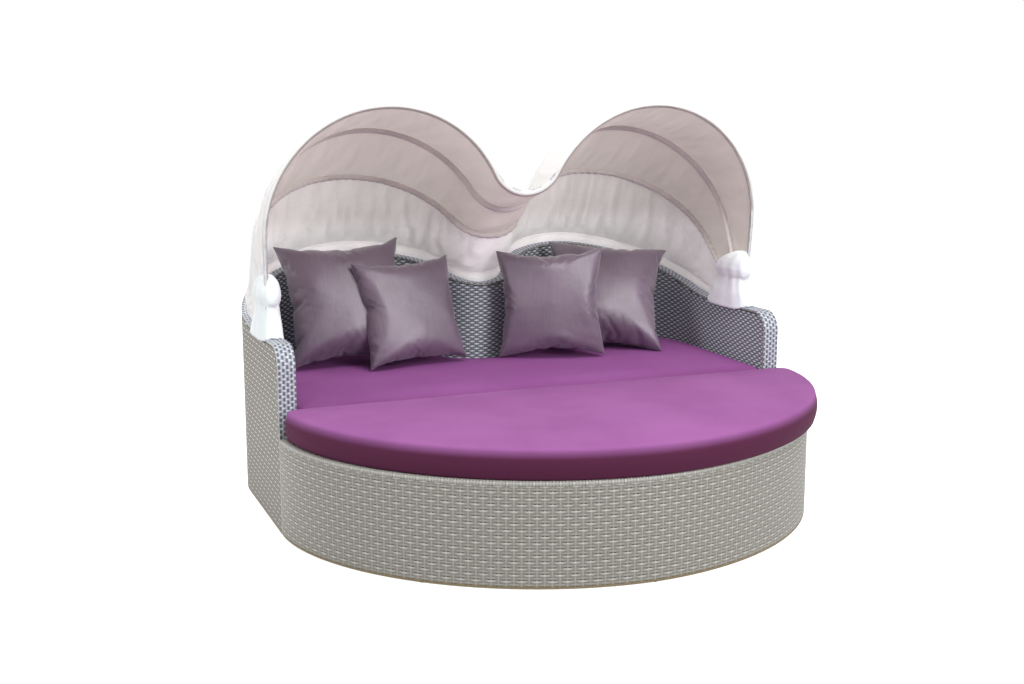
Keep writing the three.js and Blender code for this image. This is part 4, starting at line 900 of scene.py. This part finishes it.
makePad("seatCushion", seatPad, seatOutline, "back_section", "seat_cushion", seatPlum)
makePad("moonCushion", moonPad, moonOutline, "half_moon", "moon_cushion", moonPlum)
print("cushions made")


# pillows: two squares sewn together and filled

pillowList = {
    "largePillowLeft": {"node": "large_pillow_left", "size": 0.543, "x": -0.575, "y": 0.678,
                        "turn": -2, "lean": 25, "roll": 2, "seed": 1.0},
    "smallPillowLeft": {"node": "small_pillow_left", "size": 0.447, "x": -0.348, "y": 0.562,
                        "turn": 9, "lean": 20, "roll": 1.5, "seed": 2.0},
    "smallPillowRight": {"node": "small_pillow_right", "size": 0.448, "x": 0.232, "y": 0.494,
                         "turn": -20, "lean": 7, "roll": 1.5, "seed": 6.0},
    "largePillowRight": {"node": "large_pillow_right", "size": 0.545, "x": 0.550, "y": 0.655,
                         "turn": -22, "lean": 41, "roll": -5, "seed": 4.0},
}
pillowCut = {
    "steps": 60, "frames": 22, "grow": 1.02, "bow": 0.01, "start": 0.012, "thick": 0.12, "uneven": 0.007,
    "pucker": 0.004, "puckerReach": 0.13, "puckerSize": 0.085, "drawn": 0.06, "seatTop": 0.4615,
}
pillowCloth = {
    "quality": 5, "mass": 0.15, "tension_stiffness": 15, "compression_stiffness": 3, "shear_stiffness": 4,
    "bending_stiffness": 0.12, "air_damping": 2, "use_pressure": True, "uniform_pressure_force": 2.3,
}


def pillowShell(name, item):
    # front and back square share their rim
    steps, size, bow = pillowCut["steps"], item["size"] * pillowCut["grow"], pillowCut["bow"]

    def sheet(side):
        def place(u, v):
            # cut nearly square, so that the filling draws its sides in
            x = (u - 0.5) * size * (1 + bow * (1 - (2 * v - 1) ** 2))
            z = (v - 0.5) * size * (1 + bow * (1 - (2 * u - 1) ** 2))
            swell = np.sqrt(np.clip((1 - (2 * u - 1) ** 2) * (1 - (2 * v - 1) ** 2), 0, 1))
            points = stacked(x, side * pillowCut["start"] * swell, z)
            return points, stacked(x + 0.5, z + 0.5 + side * 0.37)
        return place

    front = bentSheet(name, steps, steps, sheet(-1))
    back = bentSheet(name + "Back", steps, steps, sheet(1))
    turnFaces(back)
    pick(front)
    back.select_set(True)
    bpy.ops.object.join()
    seal(front)
    return front


def pillowChart(points, item):
    # where each point lies on its square, from -1 to 1 both ways
    half = item["size"] * pillowCut["grow"] / 2
    return (np.clip(points[:, k] / half / (1 + pillowCut["bow"]), -1, 1) for k in (0, 2))


def fillPillow(piece, item):
    points = pointsOf(piece)
    u, v = pillowChart(points, item)
    side = np.where(points[:, 1] < 0, -1.0, 1.0)
    points[:, 1] += pillowCut["uneven"] * roll(points, 0.1, item["seed"]) * side * (1 - u**4) * (1 - v**4)
    movePoints(piece, points)
    runCloth(piece, pillowCut["frames"], pillowCloth, gravity=0)
    # the filling pulls short creases in from the side seams
    points = pointsOf(piece)
    near = np.exp(-(1 - np.abs(u)) / pillowCut["puckerReach"]) * (1 - v**6)
    ripple = roll(stacked(u * 0.35, v, side), pillowCut["puckerSize"], item["seed"] + 8)
    points[:, 1] += side * pillowCut["pucker"] * near * ripple * smoothStep(1.0, 0.93, np.abs(u)) * 2
    movePoints(piece, points)


def setPillow(piece, item):
    turn, lean, tilt = (math.radians(item[k]) for k in ("turn", "lean", "roll"))
    matrix = Matrix.Rotation(turn, 4, "Z") @ Matrix.Rotation(-lean, 4, "X") @ Matrix.Rotation(-tilt, 4, "Y")
    points = pointsOf(piece) @ np.array(matrix.to_3x3()).T
    points += np.array([item["x"], item["y"] + plan["shift"], pillowCut["seatTop"] - points[:, 2].min()])
    movePoints(piece, points)


for name, item in pillowList.items():
    pillow = pillowShell(name, item)
    fillPillow(pillow, item)
    setPillow(pillow, item)
    addModifier(pillow, "SUBSURF", levels=1, render_levels=1)
    applyAll(pillow)
    smooth(pillow)
    finished(pillow, "back_section", "pillow_cloth", item["node"], pillowMauve)
print("pillows filled")


# canopy

canopy = {
    "pivotY": 0.228, "pivotZ": 0.688, "rearLegX": 0.9485, "legPitch": 0.016, "start": 0.038,
    "bare": 0.036,  # share of a hoop's length at each end that no panel covers
    "tube": 0.0075, "cloth": 0.0016, "run": 4.2,
}
hoopShapes = {
    "rear": {"angle": 39, "inset": 0.043, "centreX": 0.531, "centreH": 0.372, "dip": 0.432, "leg": 0},
    "middle": {"angle": 65.5, "inset": 0.034, "centreX": 0.526, "centreH": 0.326, "dip": 0.428, "leg": 1},
    "front": {"angle": 94.5, "inset": 0.013, "centreX": 0.532, "centreH": 0.337, "dip": 0.464, "leg": 2},
}
pivot = np.array([0, canopy["pivotY"] + plan["shift"], canopy["pivotZ"]])


def hoopCourse(hoop):
    # a hoop's centre line in its plane: x across and h up it
    cx, ch = hoop["centreX"], hoop["centreH"]
    lobe = plan["halfWidth"] - hoop["inset"] - cx
    legX = canopy["rearLegX"] + hoop["leg"] * canopy["legPitch"]
    rise = hoop["dip"] - ch
    dipRadius = (cx**2 + rise**2 - lobe**2) / (2 * (lobe - rise))
    tangent = math.atan2(-ch, legX - cx) + math.acos(lobe / math.hypot(legX - cx, ch))
    join = math.atan2(hoop["dip"] + dipRadius - ch, -cx)
    top = (cx + lobe * math.cos(tangent), ch + lobe * math.sin(tangent))
    foot = (legX + (top[0] - legX) / top[1] * canopy["start"], canopy["start"])
    leg = math.hypot(top[0] - foot[0], top[1] - foot[1])
    return {
        "foot": foot, "top": top, "leg": leg, "centre": (cx, ch), "radius": lobe, "turnFrom": tangent, "turnTo": join,
        "dipRadius": dipRadius, "dipCentre": hoop["dip"] + dipRadius,
        "half": leg + lobe * (join - tangent) + dipRadius * (join - math.pi / 2),
    }


for hoop in hoopShapes.values():
    hoop["course"] = hoopCourse(hoop)


def besideHoop(hoop, s, outOf, back):
    # points beside a hoop, s from 0 to 1 along it: out of its line in its plane, and back from its plane
    x, h, nx, nh, _ = lobedLine(2 * hoop["course"]["half"] * s, hoop["course"])
    out = outOf(x) if callable(outOf) else outOf
    x, h = x + nx * out, h + nh * out
    c, t = math.cos(math.radians(hoop["angle"])), math.sin(math.radians(hoop["angle"]))
    points = stacked(x, h * c + back * t + pivot[1], h * t - back * c + pivot[2])
    return points, stacked(nx, nh * c, nh * t)


def hoopEdge(name, out, back):
    # a panel's edge along a hoop, with the way out of the canopy
    return lambda s: besideHoop(hoopShapes[name], canopy["bare"] + s * (1 - 2 * canopy["bare"]), out, back)


hem = {"start": 0.4, "up": 0.040, "out": 0.012, "flat": (3.1, 0.05), "steps": 320, "wave": 0.0014, "waves": 170}


def hemCourse(s):
    return hem["start"] + 2 * (halfPath - hem["start"]) * s


def hemPoint(q, up, out):
    _, _, _, _, path = wallLine(q)
    return wallPoint(q, out, wallTop(path) + up)


def hemEdge(s):
    q = hemCourse(s)
    _, _, nx, ny, _ = wallLine(q)
    return hemPoint(q, hem["up"], hem["out"]), stacked(nx, ny, 0.35)


def dipGather(u, v, amount, count, spread):
    # folds that fan out from the dip in the middle
    near = np.exp(-(((u - 0.5) / spread) ** 2))
    return amount * near * np.sin((u - 0.5) * count * (1 - 0.35 * v) * 2 * math.pi)


def slantFolds(u, v, width, slant, seed):
    # creases that cross the panel at a slant, uneven in place and strength
    return roll(stacked((u * canopy["run"] - v * slant) / width, v * 0.7, 0.0), 1.0, seed)


def wideFolds(gather, lump, crease, width, slant, count, seed):
    def folds(u, v, p):
        return 4 * v * (1 - v) * (dipGather(u, v, gather, count, 0.12) + 0.006 * roll(p, lump, seed)
                                  + crease * slantFolds(u, v, width, slant, seed + 1))
    return folds


def rearFolds(u, v, p):
    edge = np.clip(6 * v * (1 - v), 0, 1)
    level = roll(stacked((u * canopy["run"] + v * 0.5) / 0.24, v / 0.13, 0.0), 1.0, 5.0)
    return edge * (dipGather(u, v, 0.010, 20, 0.14) + 0.010 * roll(p, 0.16, 9.0) + 0.006 * roll(p, 0.07, 4.0)
                   + 0.010 * level * smoothStep(0.25, 0.7, v) + 0.008 * slantFolds(u, v, 0.08, -0.2, 11.0))


hoopCover = canopy["tube"] + canopy["cloth"]
beside = 0.001  # from a hoop's plane to the edge of the panel sewn on each side of it
panelSteps, panelFrames = (240, 36), 18
panelCloth = {
    "quality": 5, "mass": 0.2, "air_damping": 3, "tension_stiffness": 18, "compression_stiffness": 6,
    "shear_stiffness": 6, "bending_stiffness": 0.03, "vertex_group_mass": "held",
}
panels = {  # each from one edge to the next one back, and the bodies and angles between which it lies; nothing bends it with them
    "frontPanel": {
        "from": hoopEdge("front", 0.0082, beside), "to": hoopEdge("middle", hoopCover, -beside), "sag": 0.012,
        "folds": wideFolds(0.005, 0.22, 0.010, 0.085, 0.24, 26, 2.0), "slack": 0.004, "flat": (4.3, 0.46),
        "inside": canopyInside, "node": "front_panel", "bodies": ("middle_hoop", "front_hoop"),
        "angles": (hoopShapes["middle"]["angle"], hoopShapes["front"]["angle"])},
    "middlePanel": {
        "from": hoopEdge("middle", hoopCover, beside), "to": hoopEdge("rear", hoopCover, -beside), "sag": 0.010,
        "folds": wideFolds(0.006, 0.2, 0.011, 0.095, 0.27, 24, 6.0), "slack": 0.005, "flat": (4.1, 0.42),
        "inside": canopyInside, "node": "middle_panel", "bodies": ("rear_hoop", "middle_hoop"),
        "angles": (hoopShapes["rear"]["angle"], hoopShapes["middle"]["angle"])},
    "rearPanel": {
        "from": hoopEdge("rear", hoopCover, beside), "to": hemEdge, "sag": 0.004,
        "folds": rearFolds, "slack": 0.016, "flat": (3.6, 0.42),
        "inside": rearInside, "node": "rear_panel", "bodies": ("back_section", "rear_hoop"),
        "angles": (8, hoopShapes["rear"]["angle"])},
}


def hangCloth(piece, slack):
    # both long edges and the two ends are held, and the cloth between them falls a little slack
    across, along = (count + 1 for count in panelSteps)
    held = piece.vertex_groups.new(name="held")
    held.add([i for i in range(across * along)
              if i < across or i >= across * (along - 1) or i % across in (0, across - 1)], 1.0, "REPLACE")
    runCloth(piece, panelFrames, dict(panelCloth, shrink_min=-slack), gravity=1)
    piece.vertex_groups.clear()
    print(piece.name, "hung")


def bendWithHoops(piece, angles):
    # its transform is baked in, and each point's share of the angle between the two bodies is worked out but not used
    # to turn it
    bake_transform(piece)
    points = pointsOf(piece) - pivot
    angle = np.degrees(np.arctan2(points[:, 2], points[:, 1]))
    share = np.clip((angle - angles[0]) / (angles[1] - angles[0]), 0, 1).astype(np.float32)


def canopyPanel(name, item):
    def place(u, v):
        (a, outA), (b, outB) = item["from"](u), item["to"](u)
        share = v[:, None]
        points = a + (b - a) * share
        out = outA * (1 - share) + outB * share
        out /= np.linalg.norm(out, axis=1)[:, None]
        depth = 4 * v * (1 - v) * item["sag"] + item["folds"](u, v, points)
        return points - out * depth[:, None], stacked(u * canopy["run"], v * np.linalg.norm(b - a, axis=1).mean())

    piece = bentSheet(name, *panelSteps, place)
    # its faces look away from the seat
    face = piece.data.polygons[(panelSteps[1] // 2) * panelSteps[0] + panelSteps[0] // 4]
    if (face.center - Vector((0.5, 0.3, 0.5))).dot(face.normal) < 0:
        turnFaces(piece)
    hangCloth(piece, item["slack"])
    finished(piece, None, "canopy_cloth", item["node"], canopyOutside, item["inside"])
    thicken(piece, canopy["cloth"], material_offset=1, material_offset_rim=1)
    bendWithHoops(piece, item["angles"])


for name, item in panels.items():
    canopyPanel(name, item)
print("canopy panels made")

sleeveCuts = {
    "frontBinding": {"hoop": "front", "radius": 0.0086, "ruche": 0.03, "twist": 0.0, "away": -0.2,
                     "made": canopyInside},
    "middleSleeve": {"hoop": "middle", "radius": 0.0112, "ruche": 0.06, "twist": 0.04, "away": 0.3,
                     "made": sleeveCloth},
    "rearSleeve": {"hoop": "rear", "radius": 0.0118, "ruche": 0.12, "twist": 0.13, "away": 0.3,
                   "made": sleeveCloth},
}
sleeveShape = {
    "flat": (4.4, 0.09), "steps": (700, 14), "thickness": 0.0012, "girth": 0.08, "slack": 0.25,
    "end": 0.66, "drawn": 0.16,  # narrower over this share of its length at each end
    "lumps": 46, "twists": 680, "uneven": (3, 31),
    "dipRoom": 0.0034, "dipNear": 0.13, "dipFar": 0.22,  # over the straight lengths that a tube's dip is bent from
}


def sleeveTube(name, item):
    # a tube of cloth round a hoop, loose enough to wrinkle
    radius, shape = item["radius"], sleeveShape

    def place(u, v):
        a = v * 2 * math.pi
        c, s = np.cos(a), np.sin(a)
        wobble = 1 + item["ruche"] * np.array([noise.noise(Vector((ui * shape["lumps"], ci * 0.8, si * 0.8)))
                                               for ui, ci, si in zip(u, c, s)])
        # drawn in towards the pivots
        wobble *= shape["end"] + (1 - shape["end"]) * smoothStep(0, shape["drawn"], np.minimum(u, 1 - u))
        amount, often = shape["uneven"]
        wobble += item["twist"] * np.sin(u * shape["twists"] + a * 2 + amount * np.sin(u * often))
        # the cloth hangs on the tube, so its slack lies on the seat side
        out = radius * c * (1 + shape["slack"] * np.clip(-c, 0, 1)) * wobble
        room = shape["dipRoom"] * np.clip(c * 1.6, 0, 1)
        points, _ = besideHoop(
            hoopShapes[item["hoop"]], canopy["bare"] / 2 + u * (1 - canopy["bare"]),
            lambda x: out + room * (1 - smoothStep(shape["dipNear"], shape["dipFar"], np.abs(x))), radius * s * wobble)
        return points, stacked(u * canopy["run"], v * shape["girth"])

    piece = bentSheet(name, *shape["steps"], place)
    seal(piece)
    # the side away from the seat is the canopy's outside
    plane = piece.data.uv_layers.active.data
    turn = [np.mean([plane[k].uv.y for k in f.loop_indices]) / shape["girth"] for f in piece.data.polygons]
    outer = (np.cos(np.array(turn) * 2 * math.pi) > item["away"]).astype(int)
    piece.data.polygons.foreach_set("material_index", outer)
    finished(piece, item["hoop"] + "_hoop", "canopy_cloth", item["hoop"] + "_sleeve", item["made"], canopyOutside)
    thicken(piece, shape["thickness"])
    item["hoop"] + "_hoop"


for name, item in sleeveCuts.items():
    sleeveTube(name, item)


def hemStrip():
    # strip along the top of the wall, with a piping where the rear panel is sewn on
    profile = np.array([
        (0.013, 0.0015), (0.0145, 0.012), (0.0135, 0.024), (0.0135, 0.0315), (0.0158, 0.0335), (0.0162, 0.0365),
        (0.0148, 0.0395), (0.012, 0.0405), (0.0092, 0.0395), (0.0078, 0.0365), (0.0082, 0.0335),
        (0.0105, 0.0315), (0.0105, 0.024), (0.0095, 0.012), (0.011, 0.0015), (0.013, 0.0015)])
    around = lengthAlong(profile)

    def place(u, v):
        k = rowOf(v, len(profile))
        wave = hem["wave"] * np.sin(u * hem["waves"]) * smoothStep(0.034, 0.004, profile[k, 1])
        points = hemPoint(hemCourse(u), profile[k, 1], profile[k, 0] + wave)
        return points, stacked(u * hem["flat"][0], around[k])

    piece = bentSheet("hemStrip", hem["steps"], len(profile) - 1, place)
    seal(piece, ends=True)
    smooth(piece, 60)
    finished(piece, "back_section", "canopy_cloth", "canopy_hem", rearInside)


hemStrip()
print("hem sewn")


# boots over the hoop ends

bootShape = {
    "around": 72, "up": 40, "thickness": 0.002, "wrinkle": 0.09, "pleat": 0.05, "pleats": 7, "square": 2.6,
    "drape": 0.016, "flat": (0.6, 0.24),
}
bootRings = np.array([  # from the base up: height, centre across and along the arm, half width and half length
    (0.6712, 0.967, 0.319, 0.047, 0.158), (0.690, 0.967, 0.317, 0.045, 0.144), (0.715, 0.967, 0.311, 0.042, 0.123),
    (0.740, 0.968, 0.304, 0.038, 0.104), (0.762, 0.968, 0.297, 0.035, 0.090), (0.776, 0.968, 0.293, 0.033, 0.084),
    (0.790, 0.968, 0.295, 0.038, 0.097), (0.812, 0.968, 0.297, 0.042, 0.105), (0.838, 0.969, 0.290, 0.040, 0.096),
    (0.860, 0.970, 0.274, 0.034, 0.075), (0.876, 0.972, 0.256, 0.025, 0.051), (0.885, 0.974, 0.246, 0.014, 0.029),
    (0.888, 0.975, 0.242, 0.0, 0.0),
])
bootWaist = bootRings[5, 0]


def boot(name, side, stands):
    levels, power = np.arange(len(bootRings)), bootShape["square"]

    def place(u, v):
        row = v * levels[-1]
        z, cx, cy, w, d = (np.interp(row, levels, bootRings[:, k]) for k in range(5))
        a = u * 2 * math.pi
        c, s = np.cos(a), np.sin(a)
        square = (np.abs(c) ** power + np.abs(s) ** power) ** (-1 / power)
        ripple = np.array([noise.noise(Vector((ci * 2.6, si * 2.6, zi * 9 + side * 2)))
                           for ci, si, zi in zip(c, s, z)])
        # pleats fan down from the drawn-in line, and up over the puff above it
        drawn = 1 - smoothStep(0.0, 0.06, np.abs(z - bootWaist))
        pleat = np.sin(a * bootShape["pleats"] + 2.2 * np.sin(a * 2)) * (0.45 + drawn) * smoothStep(0.668, 0.70, z)
        loose = square * (1 + bootShape["wrinkle"] * ripple + bootShape["pleat"] * pleat)
        # its foot hangs over the wall's faces
        drape = bootShape["drape"] * smoothStep(0.35, 0.85, np.abs(c)) * smoothStep(0.72, bootRings[0, 0], z)
        points = stacked(side * (cx + w * c * loose), cy + plan["shift"] + d * s * loose,
                         z - drape + 0.006 * ripple * smoothStep(0.672, 0.74, z))
        return points, stacked(u * 0.62, v * 0.24)

    piece = bentSheet(name, bootShape["around"], bootShape["up"], place)
    seal(piece)
    finished(piece, "back_section", "canopy_cloth", stands, bootCloth)
    thicken(piece, bootShape["thickness"])


boot("rightBoot", 1, "right_boot")
boot("leftBoot", -1, "left_boot")
print("boots made")


# floor, light and camera

stageLook = {"bounce": 0.4, "paper": 0.9, "glow": 0.6, "sky": 0.46, "skyColour": (0.97, 0.985, 1.0, 1)}
lamps = {
    "softboxAbove": {"at": (0.5, -2.2, 4.8), "towards": (0, -0.2, 0.4), "size": 2.4, "power": 120},
    "softboxFront": {"at": (2.0, -5.3, 3.0), "towards": (0, 0, 0.7), "size": 2.2, "power": 155},
    "softboxLeft": {"at": (-4.8, -0.6, 2.3), "towards": (0, 0, 0.7), "size": 2.6, "power": 85},
    "softboxBehind": {"at": (-1.0, 3.8, 3.4), "towards": (0, 0.6, 1.0), "size": 3.0, "power": 130},
}
view = {"lens": 47.686, "sensor": 36, "at": (-1.945, -4.5925, 1.537), "down": 10.57, "turn": -21.85}


def stageFloor():
    clearSelection()
    bpy.ops.mesh.primitive_plane_add(size=60, location=(0, 0, 0))
    floor = bpy.context.object
    floor.name = "floor"
    finish = Finish("floorPaper", 0.9, Specular_IOR_Level=0.0)
    tone = finish.cloud(finish.place(), 4.0, 2.0)
    finish.feed("Base Color", finish.shaded((stageLook["paper"],) * 3, 0.995 + tone * 0.01))
    # white to the camera with the object's shadow on it, and a softer bounce on the object
    glow = finish.add("ShaderNodeEmission", {}, {"Strength": stageLook["glow"]})
    paper = finish.add("ShaderNodeAddShader", {}, {0: finish.own, 1: glow})
    bounce = finish.add("ShaderNodeBsdfDiffuse", {}, {"Color": (stageLook["bounce"],) * 3 + (1,)})
    finish.show(finish.seen(), bounce, paper)
    floor.data.materials.append(finish.material)


def makeWorld():
    world = bpy.data.worlds.new("studio")
    bpy.context.scene.world = world
    world.use_nodes = True
    sky = ShaderTree(world.node_tree)
    lamp = sky.add("ShaderNodeBackground", {}, {"Color": stageLook["skyColour"], "Strength": stageLook["sky"]})
    backdrop = sky.add("ShaderNodeBackground", {}, {"Color": (1, 1, 1, 1), "Strength": 1.0})
    sky.show(sky.seen(), lamp, backdrop)


def addLamp(name, item):
    light = bpy.data.lights.new(name, "AREA")
    light.shape, light.size, light.energy = "DISK", item["size"], item["power"]
    lamp = bpy.data.objects.new(name, light)
    bpy.context.scene.collection.objects.link(lamp)
    lamp.location = item["at"]
    lamp.rotation_euler = (Vector(item["towards"]) - Vector(item["at"])).to_track_quat("-Z", "Y").to_euler()


def addCamera():
    lens = bpy.data.cameras.new("camera")
    lens.lens, lens.sensor_width = view["lens"], view["sensor"]
    camera = bpy.data.objects.new("camera", lens)
    bpy.context.scene.collection.objects.link(camera)
    camera.location = view["at"]
    camera.rotation_euler = (math.radians(90 - view["down"]), 0, math.radians(view["turn"]))
    bpy.context.scene.camera = camera
    bpy.context.scene.view_settings.view_transform = "Standard"


stageFloor()
makeWorld()
for name, item in lamps.items():
    addLamp(name, item)
addCamera()
print("stage set")
